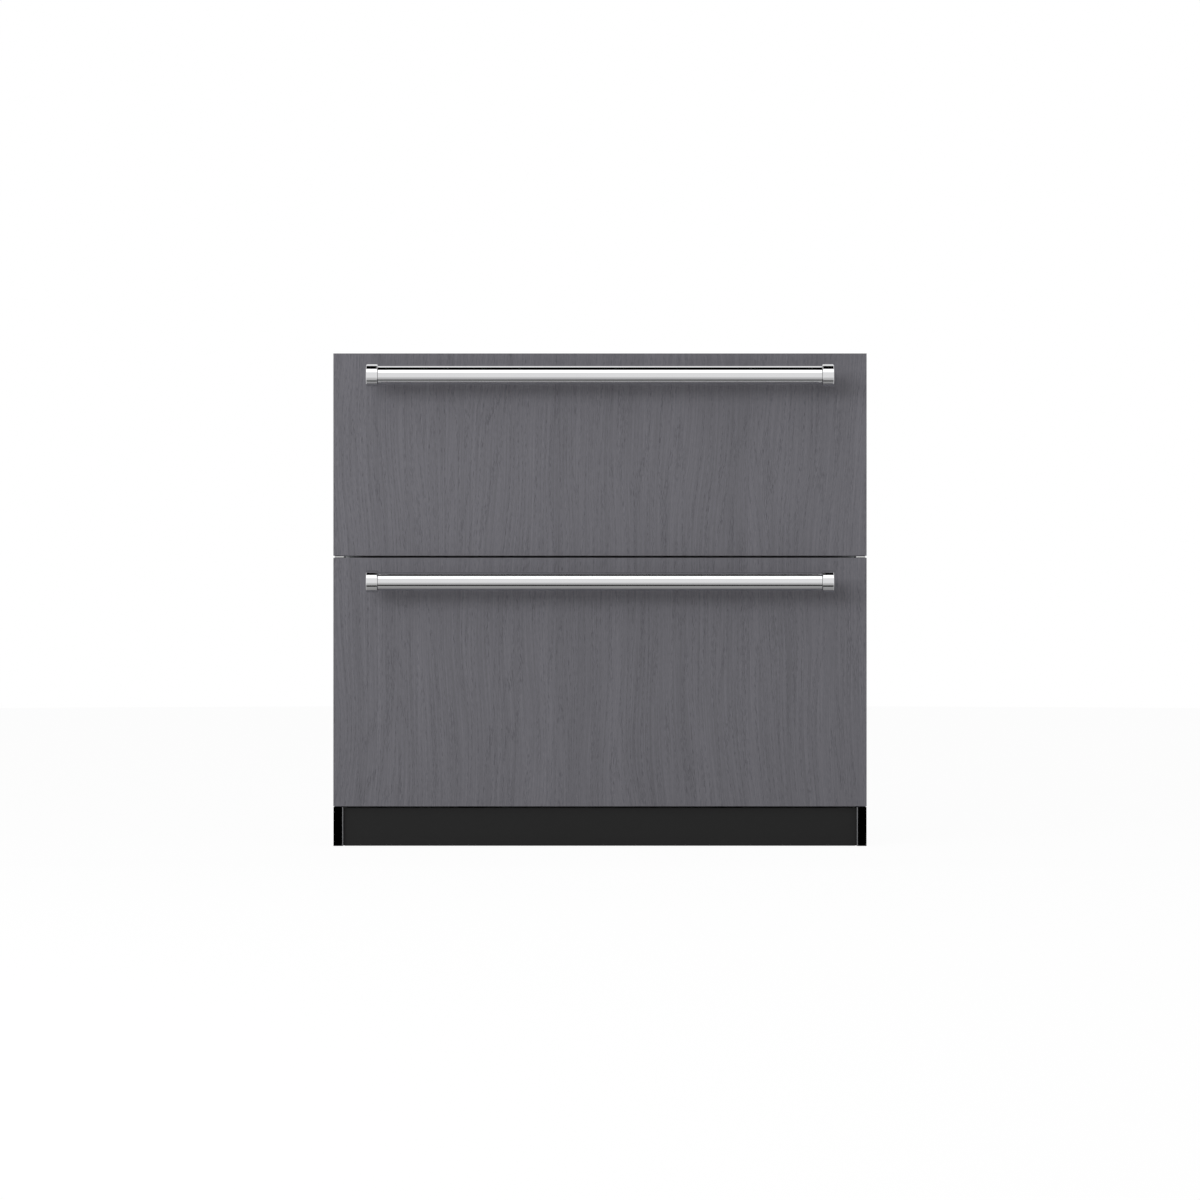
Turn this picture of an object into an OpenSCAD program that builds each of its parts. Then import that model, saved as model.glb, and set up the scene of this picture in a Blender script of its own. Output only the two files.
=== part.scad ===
// Undercounter refrigerator with two drawers and wooden front panels.
// X runs across the front, -Y is the front, +Z is up. The origin is on the floor, in the middle
// of the whole box from the handles' front to the cabinet's back. All sizes are millimetres.

/* [Fronts] */
// Width of both wooden front panels
panel_w = 912; // [800:1:1000]
// Thickness of a wooden front panel
panel_t = 19; // [16:0.5:22]
// Height of the upper front panel
upper_panel_h = 346; // [335:1:400]
// Height of the lower front panel
lower_panel_h = 425; // [415:1:500]
// Gap between the two front panels
panel_gap = 3.5; // [2:0.5:6]
// How far a front panel stands out past the cabinet on each side
panel_overhang = 13.5; // [12:0.5:20]
// How far the cabinet's top lies below the upper panel's top edge
top_drop = 4.5; // [2:0.5:10]

/* [Plinth] */
// Height of the lower panel's bottom edge above the floor, with the feet screwed in
plinth_h = 68; // [64:1:90]
// How far the kick plate lies behind the panels' face
kick_recess = 8; // [8:0.5:20]
// Depth of the kick plate's folded top and end flanges
kick_fold = 72; // [60:1:80]
// Sheet thickness of the kick plate and its brackets
kick_sheet = 1.5; // [1:0.25:2]
// Radius of the kick plate's bottom corners
kick_corner_r = 3; // [2:0.5:6]
// Width of the plinth's return on each side of the kick plate, with its bright strip
return_w = 16.7; // [14:0.1:20]
// How far the returns' front edges lie behind the panels' face
return_setback = 2; // [1:0.5:4]
// Length of the returns behind the kick plate
return_tail = 92; // [84:1:110]
// Width of the bright strip on each return's inner front corner
trim_w = 1.7; // [1:0.1:3]
// Depth of the bright strips, front to back
trim_d = 5; // [3:0.5:12]
// Width of the two brackets behind the kick plate
bracket_w = 50; // [30:1:80]

/* [Feet] */
// Thread diameter of a levelling foot
foot_thread_d = 12; // [10:1:14]
// Diameter of a foot's pad
foot_pad_d = 40; // [32:1:48]
// Height of a foot's pad
foot_pad_h = 12; // [8:1:14]
// Width across the flats of a foot's adjusting nut
foot_nut_af = 19; // [17:1:22]
// Height of a foot's adjusting nut
foot_nut_h = 11; // [8:1:14]
// Wall thickness of the sockets that the feet screw into
socket_wall = 5; // [4:0.5:7]
// Distance from a foot's axis to the cabinet's side
foot_inset_x = 60; // [40:1:90]
// Distance from a front foot's axis to the kick plate's flange
front_foot_inset = 36.5; // [30:0.5:60]
// Distance from a rear foot's axis to the cabinet's back
rear_foot_inset = 45; // [30:1:70]

/* [Handles] */
// Whole length of a handle, over its end caps
handle_l = 792; // [600:1:796]
// Diameter of the handle's bar
bar_d = 31.5; // [25:0.5:35]
// Wall thickness of the handle's tube
bar_wall = 2; // [1.5:0.5:3]
// Diameter of an end cap
cap_d = 37.5; // [36:0.5:42]
// Length of an end cap along the bar
cap_l = 19.2; // [18.2:0.2:30]
// Width of the bevel on an end cap's two edges
cap_bevel = 0.8; // [0.4:0.1:1.5]
// Length of the spigot that joins an end cap to the bar
spigot_l = 16; // [10:1:30]
// Distance from the panel's face to the bar's axis
handle_standoff = 60; // [45:1:75]
// Distance from a panel's top edge down to the bar's axis
handle_drop = 40.7; // [30:0.1:60]
// Diameter of the post that joins an end cap to the panel
post_d = 15; // [13:0.5:17]
// Diameter of the post's foot on the panel
post_foot_d = 18.5; // [18:0.5:24]
// Thickness of the post's foot
post_foot_t = 3; // [2:0.5:5]
// Diameter of the screw that holds a post
handle_screw_d = 6; // [5:0.5:8]
// Diameter of that screw's head
screw_head_d = 12; // [11:0.5:16]
// Height of that screw's head
screw_head_t = 4; // [3:0.5:6]
// Length of the screw inside the post
screw_grip = 14; // [10:1:25]

/* [Cabinet] */
// Depth from the panels' face to the cabinet's back
overall_d = 610; // [600:1:680]
// Insulated side wall, from the outside to the cavity
side_wall = 42; // [35:1:55]
// Insulated top wall
top_wall = 38; // [32:1:50]
// Insulated floor
floor_wall = 42; // [35:1:50]
// Insulated back wall
back_wall = 45; // [38:1:50]
// Thickness of the outer steel sheets
shell_t = 1; // [0.7:0.1:1.5]
// Thickness of the base pan
base_t = 1.5; // [1:0.25:2.5]
// Thickness of the front frame
frame_t = 1.5; // [1:0.25:2.5]
// Thickness of the plastic liners
liner_t = 2.5; // [1.5:0.25:3.5]
// Depth of the machine compartment
machine_d = 170; // [165:1:180]
// Height of the machine compartment
machine_h = 190; // [186:1:196]
// Insulation between the machine compartment and the lower cavity
step_wall = 40; // [30:1:44]
// Width of the air duct between the two cavities
duct_w = 200; // [100:1:300]
// Depth of the air duct between the two cavities
duct_d = 34; // [20:1:38]

/* [Fixing ears] */
// Height of the ears that screw the cabinet to its neighbours
ear_h = 60; // [40:1:90]
// Sheet thickness of the ears
ear_t = 2; // [1.5:0.25:2.5]
// Length of an ear's leg along the cabinet's side
ear_leg = 35; // [25:1:60]
// Diameter of the screw hole in an ear
ear_hole_d = 5.2; // [4.2:0.2:6]
// Height of the lower ears above the cabinet's bottom
ear_rise = 130; // [60:1:200]
// Distance from the cabinet's top down to the upper ears
ear_drop = 100; // [60:1:200]

/* [Doors] */
// Thickness of an insulated door behind its wooden panel
door_t = 41; // [35:1:46]
// Thickness of the door gasket when it is pressed
gasket_t = 10; // [8:0.5:14]
// Width of the door gasket
gasket_w = 14; // [12:0.5:18]
// How far the gasket starts outside the opening
gasket_lap = 2; // [1:0.5:3]
// How far the gasket stays inside the doors' edges between the two drawers
gasket_edge = 0.25; // [0.25:0.25:4]

/* [Drawers] */
// Full travel of both drawers
travel = 410; // [300:5:415]
// Space under the tubs
tub_floor_room = 14; // [8:1:20]
// Space behind the tubs
tub_rear_room = 10; // [6:1:20]
// Space above the tubs' rim
head_room = 80; // [60:1:100]
// Wall thickness of the tubs
tub_wall = 3; // [2:0.5:4]
// Radius of the tubs' upright outer corners
tub_corner_r = 25; // [15:1:35]
// Width of the tubs' side rims
tub_rim = 8; // [5:0.5:9]
// Thickness of the tubs' rim
rim_t = 3; // [2:0.5:4]
// Thickness of the clear dividers
divider_t = 4; // [3:0.5:6]
// Height of the dividers' hooks over the rim
hook_h = 10; // [6:1:20]
// Resting place of the upper divider, right of the middle
upper_divider_x = -130; // [-150:5:100]
// Resting place of the lower divider, right of the middle
lower_divider_x = 110; // [-100:5:150]

/* [Slides] */
// Height of a fixed rail
rail_h = 45; // [42:1:50]
// Depth of the whole slide, from the cavity's wall to the arm
rail_pack = 13; // [13:0.1:14]
// Sheet thickness of the rails
rail_sheet = 1.5; // [1.2:0.1:1.5]
// Diameter of the bearing balls
ball_d = 4; // [3.6:0.1:4]
// Number of balls in each row
ball_count = 5; // [3:1:7]
// Space between the end of the rails and the evaporator's cover
rail_rear_room = 3.5; // [3:0.5:12]
// Thickness of the steel arms that carry a tub
arm_t = 2; // [1.5:0.5:3]
// Width of an arm's front tab
arm_tab = 30; // [20:1:50]
// Length of a soft-close unit
soft_close_l = 80; // [50:1:120]
// Diameter of the catch that enters the soft-close unit
catch_d = 5; // [4:0.5:6]

/* [Cooling] */
// Depth of the space behind the evaporator's cover
evaporator_space = 55; // [54:1:58]
// Thickness of the evaporator's cover
cover_t = 3; // [2:0.5:3]
// Diameter of the two fans' blades
fan_d = 92; // [80:1:96]
// Number of blades on a fan
fan_blades = 7; // [5:1:9]
// Diameter of the compressor
compressor_d = 140; // [110:1:146]
// Height of the compressor's can
compressor_h = 150; // [130:1:156]
// Place of the compressor, right of the middle
compressor_x = 150; // [145:1:170]
// Outer diameter of the refrigerant lines
line_d = 8; // [6:0.5:9]
// Distance between neighbouring tubes of a coil
coil_pitch = 24; // [20:1:24]
// Thickness of a coil's fins
fin_t = 0.8; // [0.5:0.1:1.5]
// Distance between neighbouring fins of the evaporator
evaporator_fin_pitch = 20; // [16:1:30]
// Distance between neighbouring fins of the condenser
condenser_fin_pitch = 8; // [7:0.5:12]
// Height of the drain tray
tray_h = 25; // [20:1:40]
// Diameter of the drain tube
drain_d = 12; // [8:1:14]
// Bore of the mains cord's gland
gland_bore = 9; // [7:0.5:10]
// Length of the mains cord's gland
gland_l = 14; // [10:1:25]

/* [Controls and lights] */
// Width of the control panel
control_w = 220; // [160:1:300]
// Height of the control panel
control_h = 26; // [20:1:32]
// Depth of the control panel
control_d = 40; // [30:1:60]
// Thickness of the control panel's glass
glass_t = 1.5; // [1:0.25:3]
// Width of the light strips
light_w = 520; // [300:1:600]
// Depth of the light strips
light_d = 16; // [10:1:25]
// Thickness of the light strips
light_t = 6; // [4:1:10]

/* [Hidden] */
$fn = 48;

// Clearances that several pieces share
cut = 1;              // how far a cutting shape runs past what it cuts
seat_gap = 0.3;       // between a piece and its seat on another body
bore_gap = 0.1;       // around a screw, a spigot or a foot's stem, per side
running_gap = 0.05;   // around a turning shaft or a rolling ball, per side
elbow_swell = 0.5;    // by which a tube's elbows are thicker than the tube

// Depths, from the panels' front face towards the back
handle_reach = handle_standoff + cap_d / 2;
y_face = handle_reach / 2 - overall_d / 2;
y_door = y_face + panel_t;
y_gasket = y_door + door_t;
y_frame = y_gasket + gasket_t;
y_cabinet = y_frame + frame_t;
y_back = y_face + overall_d;
y_cavity_back = y_back - back_wall;
y_cover = y_cavity_back - evaporator_space - cover_t;
y_machine = y_back - machine_d;
y_step = y_machine - shell_t - step_wall - liner_t;
y_kick = y_face + kick_recess;
y_kick_back = y_kick + kick_fold;

// Half widths
body_x = panel_w / 2 - panel_overhang;
cavity_x = body_x - side_wall;
return_x = panel_w / 2 - return_w;

// Heights
base_rise = 2;
mullion_h = panel_gap + 2 * (gasket_w + gasket_lap + gasket_edge);
z_lower_top = plinth_h + lower_panel_h;
z_upper = z_lower_top + panel_gap;
z_top = z_upper + upper_panel_h;
z_base = plinth_h + base_rise;
z_base_top = z_base + base_t;
z_cabinet_top = z_top - top_drop;
z_mullion = z_lower_top + panel_gap / 2;
z_machine_top = z_base_top + machine_h;
z_step = z_machine_top + shell_t + step_wall + liner_t;

// Floor and ceiling of each cavity, and bottom and top of each door
upper_cavity = [z_mullion + mullion_h / 2, z_cabinet_top - top_wall];
lower_cavity = [z_base + floor_wall, z_mullion - mullion_h / 2];
upper_door = [z_upper, z_cabinet_top];
lower_door = [z_base, z_lower_top];

// Slides: u is the distance from the cavity's wall, v the height over the slide's middle
rail_front_room = 2;
rail_y = y_cabinet + rail_front_room;
rail_l = y_cover - rail_rear_room - rail_y;
web_gap = 1;
outer_flange_v = rail_h / 2 - rail_sheet;
outer_ball_v = outer_flange_v - running_gap - ball_d / 2;
mid_flange_v = outer_ball_v - ball_d / 2 - running_gap;
inner_ball_v = mid_flange_v - rail_sheet - running_gap - ball_d / 2;
inner_flange_v = inner_ball_v - ball_d / 2 - running_gap;
mid_web_u = rail_sheet + web_gap;
outer_ball_u = 7;
inner_ball_u = 8;
cage_t = 0.5;
cage_flange_t = 1;
cage_end_room = 6;
cage_y = rail_y + travel / 4 + cage_end_room;
cage_l = rail_l - travel / 2 - 2 * cage_end_room;

// Arms: they reach past the slide by a margin above and below
arm_margin = 9.5;
arm_h = rail_h + 2 * arm_margin;
arm_x = cavity_x - rail_pack;
arm_drop = arm_h / 2;
arm_l = rail_y + rail_l - y_gasket;
catch_y = rail_y + rail_l - soft_close_l / 2;
catch_v = catch_d / 2 + 0.5 - arm_drop;
groove_room = 1;
groove_v = catch_d / 2 + groove_room;
groove_floor = 5;
soft_close_v = catch_v - groove_v - groove_floor;

// Tubs
tub_side_gap = 0.5;
tub_front_room = 3;
slide_floor_room = 5;
tub_x = arm_x - arm_t - tub_side_gap;
tub_y = y_gasket + tub_front_room;
tub_d = y_cover - tub_rear_room - tub_y;
deep_d = y_step - tub_rear_room - tub_y;
upper_rim_z = upper_cavity[1] - head_room;
lower_rim_z = max(lower_cavity[1] - head_room, z_step + slide_floor_room + arm_drop - soft_close_v);
upper_tub_z = upper_cavity[0] + tub_floor_room;
lower_tub_z = lower_cavity[0] + tub_floor_room;
shelf_z = z_step + tub_floor_room / 2;

// Handles
cap_x = handle_l / 2 - cap_l / 2;
bar_l = handle_l - 2 * cap_l;
upper_handle_z = z_top - handle_drop;
lower_handle_z = z_lower_top - handle_drop;
counterbore_t = screw_head_t + 1;

// Plinth
kick_top_room = 3;
return_top_room = 1.5;
kick_top = plinth_h - kick_top_room;
return_top = plinth_h - return_top_room;

// Feet
foot_x = body_x - foot_inset_x;
front_foot_y = y_kick_back + front_foot_inset;
rear_foot_y = y_back - rear_foot_inset;
socket_z = foot_pad_h + foot_nut_h + seat_gap;
stem_top = z_base - 2;

// Fans: a square frame round the blades, with the motor behind
fan_rim = 9;
fan_frame = fan_d + 2 * fan_rim;
fan_frame_t = 25;
fan_tip_gap = 2;
motor_d = 36;
motor_y = 17;
motor_t = 18;
hub_d = 34;
hub_y = 5;
hub_t = 11;
shaft_d = 3;
fan_side_room = 55;
fan_ceiling_room = 75;
fan_coil_room = 75;
evaporator_fan_x = cavity_x - fan_frame / 2 - fan_side_room;
evaporator_fan_z = upper_cavity[1] - fan_frame / 2 - fan_ceiling_room;

// Evaporator coil, to the left of its fan
evaporator_rows = 6;
coil_side_room = 40;
coil_floor_room = 30;
coil_back_room = 12;
evaporator_left = coil_side_room - cavity_x;
evaporator_right = evaporator_fan_x - fan_frame / 2 - fan_coil_room;
evaporator_l = evaporator_right - evaporator_left;
evaporator_z = upper_cavity[0] + coil_floor_room + evaporator_rows * coil_pitch / 2;
evaporator_y = y_cavity_back - coil_back_room - coil_pitch / 2;

// Machine compartment: the condenser's coil stands on the left of its fan
fan_foot_h = 14;
fan_condenser_room = 34;
condenser_foot_h = 8;
machine_y = y_machine + machine_d / 2;
line_y = y_back - back_wall / 2;
condenser_fan_x = -110;
condenser_fan_z = z_base_top + fan_foot_h + fan_frame / 2;
condenser_rows = 6;
condenser_columns = 3;
condenser_l = fan_frame + line_d + 2;
condenser_w = condenser_columns * coil_pitch;
condenser_x = condenser_fan_x - fan_condenser_room - condenser_w / 2;
condenser_z = z_base_top + condenser_foot_h + condenser_rows * coil_pitch / 2;
grommet_h = 12;
can_z = z_base_top + grommet_h;
dome_h = compressor_h / 4;
tray_left = -60;
tray_right = 45;
gland_inset = 70;
gland_rise = 40;
gland_wall = 4.5;
gland_x = body_x - gland_inset;
gland_z = z_base_top + gland_rise;
gland_d = gland_bore + 2 * gland_wall;
gland_flange = 3;

// Refrigerant lines and the air duct
hot_line_room = 25;
liquid_line_x = 20;
line_ceiling_room = 15;
liquid_rise_room = 25;
suction_rise_room = 45;
suction_side_room = 40;
duct_back_room = 13;
duct_y = y_cavity_back - duct_back_room - duct_d;

// Louvres in the evaporator's cover
louvre_w = 60;
louvre_h = 5;
louvre_side_room = 60;
louvre_ceiling_room = 30;
louvre_step_x = 80;
louvre_step_z = 12;
louvre_top_z = upper_cavity[1] - louvre_ceiling_room;

// Controls
control_front_room = 4;
control_y = y_cabinet + control_front_room;

// ---- shared shapes -------------------------------------------------------

// A block between two opposite corners
module block(low, high) {
    translate(low) cube(high - low);
}

// A rectangle between two opposite corners
module rect(low, high) {
    translate(low) square(high - low);
}

// A rectangle between two opposite corners, with round corners
module rounded_rect(low, high, r) {
    rect(low + [r, 0], high - [r, 0]);
    rect(low + [0, r], high - [0, r]);
    for (x = [low.x + r, high.x - r], y = [low.y + r, high.y - r])
        translate([x, y]) circle(r = r);
}

// A flat profile in X and Z, drawn out along Y
module along_y(y, depth) {
    translate([0, y + depth, 0]) rotate([90, 0, 0]) linear_extrude(height = depth) children();
}

// A flat profile in Y and Z, drawn out along X to both sides of the middle
module along_x(width) {
    rotate([90, 0, 90]) linear_extrude(height = width, center = true) children();
}

// A cylinder that points towards the back
module backwards(length, d) {
    rotate([-90, 0, 0]) cylinder(h = length, d = d);
}

// The same piece on the right and on the left
module both_sides() {
    children();
    mirror([1, 0, 0]) children();
}

// A straight rod between two points
module rod(from, to, d) {
    run = to - from;
    length = norm(run);
    translate(from)
        rotate([0, acos(run.z / length), atan2(run.y, run.x)])
            cylinder(h = length, d = d);
}

// A tube through a list of points, with a slightly thicker elbow at each turn
module pipe(points, d) {
    for (i = [0 : len(points) - 2]) rod(points[i], points[i + 1], d);
    for (i = [1 : len(points) - 2]) translate(points[i]) sphere(d = d + elbow_swell);
}

// The front outline of a cavity, grown by a margin
module opening(cavity, grow) {
    rect([-cavity_x - grow, cavity[0] - grow], [cavity_x + grow, cavity[1] + grow]);
}

// ---- cabinet -------------------------------------------------------------

// One sheet, bent round both sides and the top
module cabinet_shell() {
    color("gray")
        along_y(y_cabinet, y_back - y_cabinet)
            difference() {
                rect([-body_x, z_base], [body_x, z_cabinet_top]);
                rect([shell_t - body_x, z_base - cut], [body_x - shell_t, z_cabinet_top - shell_t]);
            }
}

// The pan under the cabinet, with a threaded socket welded on at each corner
module base_pan() {
    socket_d = foot_thread_d + 2 * socket_wall;
    bore_top = z_base - 1;
    color("dimgray")
        difference() {
            union() {
                block([shell_t - body_x, y_cabinet, z_base], [body_x - shell_t, y_back, z_base_top]);
                at_feet() translate([0, 0, socket_z]) cylinder(h = z_base - socket_z, d = socket_d);
            }
            at_feet()
                translate([0, 0, socket_z - cut])
                    cylinder(h = bore_top - socket_z + cut, d = foot_thread_d + 2 * bore_gap);
        }
}

module back_panel() {
    color("gray")
        block([shell_t - body_x, y_back - shell_t, z_machine_top + shell_t],
              [body_x - shell_t, y_back, z_cabinet_top - shell_t]);
}

// The folded sheet between the machine compartment and the insulation
module machine_bulkhead() {
    color("silver")
        difference() {
            along_x(2 * (body_x - shell_t))
                difference() {
                    rect([y_machine - shell_t, z_base_top], [y_back, z_machine_top + shell_t]);
                    rect([y_machine, z_base_top - cut], [y_back + cut, z_machine_top]);
                }
            line_holes();
        }
}

// The steel face that both door gaskets close against
module front_frame() {
    color("darkgray")
        along_y(y_frame, frame_t)
            difference() {
                rect([-body_x, z_base], [body_x, z_cabinet_top]);
                opening(upper_cavity, 0);
                opening(lower_cavity, 0);
            }
}

// The cavities seen from the side, grown by a margin at the back, top and bottom
module upper_profile(grow) {
    rect([y_cabinet, upper_cavity[0] - grow], [y_cavity_back + grow, upper_cavity[1] + grow]);
}

module lower_profile(grow) {
    rect([y_cabinet, lower_cavity[0] - grow], [y_step + grow, lower_cavity[1] + grow]);
    rect([y_cabinet, z_step - grow], [y_cavity_back + grow, lower_cavity[1] + grow]);
}

// The duct between the cavities, behind the evaporator's cover
module duct(grow, low, high) {
    block([-duct_w / 2 - grow, duct_y - grow, low],
          [duct_w / 2 + grow, duct_y + duct_d + grow, high]);
}

module upper_liner() {
    color("whitesmoke")
        difference() {
            union() {
                along_x(2 * (cavity_x + liner_t)) upper_profile(liner_t);
                duct(liner_t, lower_cavity[1] + liner_t, upper_cavity[0] - liner_t);
            }
            along_x(2 * cavity_x) upper_profile(0);
            duct(0, lower_cavity[1], upper_cavity[0] + cut);
            line_holes();
        }
}

// A stepped box that is open at the top, and the ceiling sheet over it, a thin seam apart
module lower_liner() {
    seam = 0.2;
    side = cavity_x + liner_t + cut;
    color("whitesmoke")
        difference() {
            along_x(2 * (cavity_x + liner_t)) lower_profile(liner_t);
            along_x(2 * cavity_x) lower_profile(0);
            duct(0, lower_cavity[1] - cut, lower_cavity[1] + liner_t + cut);
            block([-side, y_cabinet - cut, lower_cavity[1] - seam],
                  [side, y_cavity_back + liner_t + cut, lower_cavity[1]]);
        }
}

// Foam fills the space between the outer sheets and the liners
module insulation_foam() {
    color("khaki")
        difference() {
            block([shell_t - body_x, y_cabinet, z_base_top],
                  [body_x - shell_t, y_back - shell_t, z_cabinet_top - shell_t]);
            along_x(2 * (cavity_x + liner_t)) upper_profile(liner_t);
            along_x(2 * (cavity_x + liner_t)) lower_profile(liner_t);
            duct(liner_t, lower_cavity[1], upper_cavity[0]);
            block([-body_x, y_machine - shell_t, z_base], [body_x, y_back, z_machine_top + shell_t]);
            line_holes();
        }
}

// Angle brackets on both sides, screwed to the neighbouring cabinets from the front
module fixing_ears() {
    hole_x = (body_x + ear_t + panel_w / 2) / 2;
    color("silver")
        both_sides()
            for (z = [z_base + ear_rise, z_cabinet_top - ear_drop])
                difference() {
                    union() {
                        block([body_x, y_cabinet, z - ear_h / 2],
                              [body_x + ear_t, y_cabinet + ear_leg, z + ear_h / 2]);
                        block([body_x, y_cabinet, z - ear_h / 2],
                              [panel_w / 2, y_cabinet + ear_t, z + ear_h / 2]);
                    }
                    translate([hole_x, y_cabinet - cut, z]) backwards(ear_t + 2 * cut, ear_hole_d);
                }
}

// ---- plinth --------------------------------------------------------------

// One folded sheet: the face with its round bottom corners, a top flange and two end flanges
module kick_plate() {
    r = kick_corner_r;
    color([0.16, 0.16, 0.17]) {
        along_y(y_kick, kick_sheet) {
            rect([-return_x, r], [return_x, kick_top]);
            rect([r - return_x, 0], [return_x - r, kick_top]);
            for (x = [r - return_x, return_x - r]) translate([x, r]) circle(r = r);
        }
        block([-return_x, y_kick, kick_top - kick_sheet], [return_x, y_kick_back, kick_top]);
        both_sides() block([return_x - kick_sheet, y_kick, r], [return_x, y_kick_back, kick_top]);
    }
}

module trim_blocks(grow) {
    low = [return_x - grow, y_face + return_setback - grow, -grow];
    both_sides() block(low, [return_x + trim_w, y_face + return_setback + trim_d, return_top + grow]);
}

module kick_returns() {
    color("black")
        difference() {
            both_sides()
                block([return_x, y_face + return_setback, 0],
                      [panel_w / 2, y_kick + return_tail, return_top]);
            trim_blocks(cut);
        }
}

module kick_trim_strips() {
    color("gray") trim_blocks(0);
}

// Folded brackets that hang the kick plate and the returns from the base pan
module kick_brackets() {
    y = y_kick + kick_sheet;
    hanger_y = y_kick_back + 2;
    hanger_end = max(hanger_y, y_cabinet) + 14;
    low = 20;
    leg = 20;
    side_y = y_kick_back + 1;
    side_end = side_y + 18;
    color("silver") {
        for (x = [-body_x / 2, body_x / 2])
            translate([x, 0, 0])
                along_x(bracket_w) {
                    rect([y, low], [y + kick_sheet, kick_top - kick_sheet]);
                    rect([y, kick_top - 2 * kick_sheet], [hanger_y + kick_sheet, kick_top - kick_sheet]);
                    rect([hanger_y, kick_top - 2 * kick_sheet], [hanger_y + kick_sheet, z_base]);
                    rect([hanger_y, z_base - kick_sheet], [hanger_end, z_base]);
                }
        both_sides() {
            block([return_x - kick_sheet, side_y, low], [return_x, side_end, z_base]);
            block([return_x - leg, side_y, z_base - kick_sheet], [return_x, side_end, z_base]);
        }
    }
}

// ---- levelling feet ------------------------------------------------------

module at_feet() {
    for (x = [-foot_x, foot_x], y = [front_foot_y, rear_foot_y]) translate([x, y, 0]) children();
}

// A pad, a hexagonal nut to turn it by, and a threaded stem, drawn plain
module foot(x, y) {
    nut_top = foot_pad_h + foot_nut_h;
    color("dimgray")
        translate([x, y, 0]) {
            cylinder(h = foot_pad_h / 2, d = foot_pad_d);
            translate([0, 0, foot_pad_h / 2])
                cylinder(h = foot_pad_h / 2, d1 = foot_pad_d, d2 = foot_nut_af);
            translate([0, 0, foot_pad_h])
                cylinder(h = foot_nut_h, d = foot_nut_af / cos(30), $fn = 6);
            translate([0, 0, nut_top]) cylinder(h = stem_top - nut_top, d = foot_thread_d);
        }
}

// ---- slides --------------------------------------------------------------

// Stands at the cavity's wall at the height of a slide, with u towards the tub
module at_slide(rim_z) {
    both_sides() translate([cavity_x, 0, rim_z - arm_drop]) mirror([1, 0, 0]) children();
}

// A rail with its web at u0, and flanges from u1 to u2 whose outer faces are at v
module channel(u0, u1, u2, v) {
    rect([u0, -v], [u0 + rail_sheet, v]);
    rect([u1, v - rail_sheet], [u2, v]);
    rect([u1, -v], [u2, rail_sheet - v]);
}

// The fixed rail, whose two lips keep the ball cage in
module fixed_rails() {
    lip = 1.2;
    mouth = rail_pack - web_gap;
    color("silver")
        for (rim_z = [upper_rim_z, lower_rim_z])
            at_slide(rim_z)
                along_y(rail_y, rail_l) {
                    channel(0, 0, mouth, rail_h / 2);
                    rect([mouth - rail_sheet, outer_flange_v - lip], [mouth, outer_flange_v]);
                    rect([mouth - rail_sheet, -outer_flange_v], [mouth, lip - outer_flange_v]);
                }
}

module mid_rails(rim_z) {
    color("lightgray")
        at_slide(rim_z)
            along_y(rail_y, rail_l)
                channel(mid_web_u, mid_web_u, rail_pack - 2 * web_gap, mid_flange_v);
}

// A thin cage between two rails, with its two rows of balls
module ball_cage(rim_z, web_u, ball_u, ball_v) {
    t = cage_flange_t / 2;
    pitch = cage_l / ball_count;
    flange_end = ball_u + ball_d / 2 + 0.8;
    color("gold")
        at_slide(rim_z) {
            difference() {
                along_y(cage_y, cage_l) {
                    rect([web_u, -ball_v - t], [web_u + cage_t, ball_v + t]);
                    for (v = [-ball_v, ball_v]) rect([web_u, v - t], [flange_end, v + t]);
                }
                for (i = [0 : ball_count - 1], v = [-ball_v, ball_v])
                    translate([ball_u, cage_y + (i + 0.5) * pitch, v - 2 * t])
                        cylinder(h = 4 * t, d = ball_d + 2 * running_gap);
            }
            for (i = [0 : ball_count - 1], v = [-ball_v, ball_v])
                translate([ball_u, cage_y + (i + 0.5) * pitch, v]) sphere(d = ball_d);
        }
}

module outer_balls(rim_z) {
    ball_cage(rim_z, rail_sheet + (web_gap - cage_t) / 2, outer_ball_u, outer_ball_v);
}

module inner_balls(rim_z) {
    ball_cage(rim_z, mid_web_u + rail_sheet + cage_t, inner_ball_u, inner_ball_v);
}

// A unit under the rear of each fixed rail, with a groove that the arm's catch runs into
module soft_close_units() {
    groove_u = rail_pack - 6;
    color("dimgray")
        for (rim_z = [upper_rim_z, lower_rim_z])
            at_slide(rim_z)
                along_y(rail_y + rail_l - soft_close_l, soft_close_l)
                    difference() {
                        rect([0, soft_close_v], [rail_pack - web_gap, -rail_h / 2]);
                        rect([groove_u, catch_v - groove_v], [rail_pack, catch_v + groove_v]);
                    }
}

// The arms that carry a tub: each has a tab on the door, a catch and the slide's inner rail
module arms(rim_z) {
    screw_x = arm_x - arm_tab / 2;
    color("silver") {
        both_sides() {
            block([arm_x - arm_t, y_gasket, rim_z - arm_h], [arm_x, y_gasket + arm_l, rim_z]);
            block([arm_x - arm_tab, y_gasket, rim_z - arm_h], [arm_x, y_gasket + arm_t, rim_z]);
            for (z = [rim_z - arm_margin, rim_z - arm_h + arm_margin])
                translate([screw_x, y_gasket + arm_t, z]) backwards(2.5, 9);
            translate([arm_x - arm_t / 2, catch_y, rim_z - arm_drop + catch_v])
                rotate([0, 90, 0]) cylinder(h = arm_t / 2 + 5, d = catch_d);
        }
        at_slide(rim_z)
            along_y(rail_y, rail_l)
                channel(rail_pack - rail_sheet, rail_pack - 7.5, rail_pack, inner_flange_v);
    }
}

// ---- tubs and dividers ---------------------------------------------------

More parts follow.
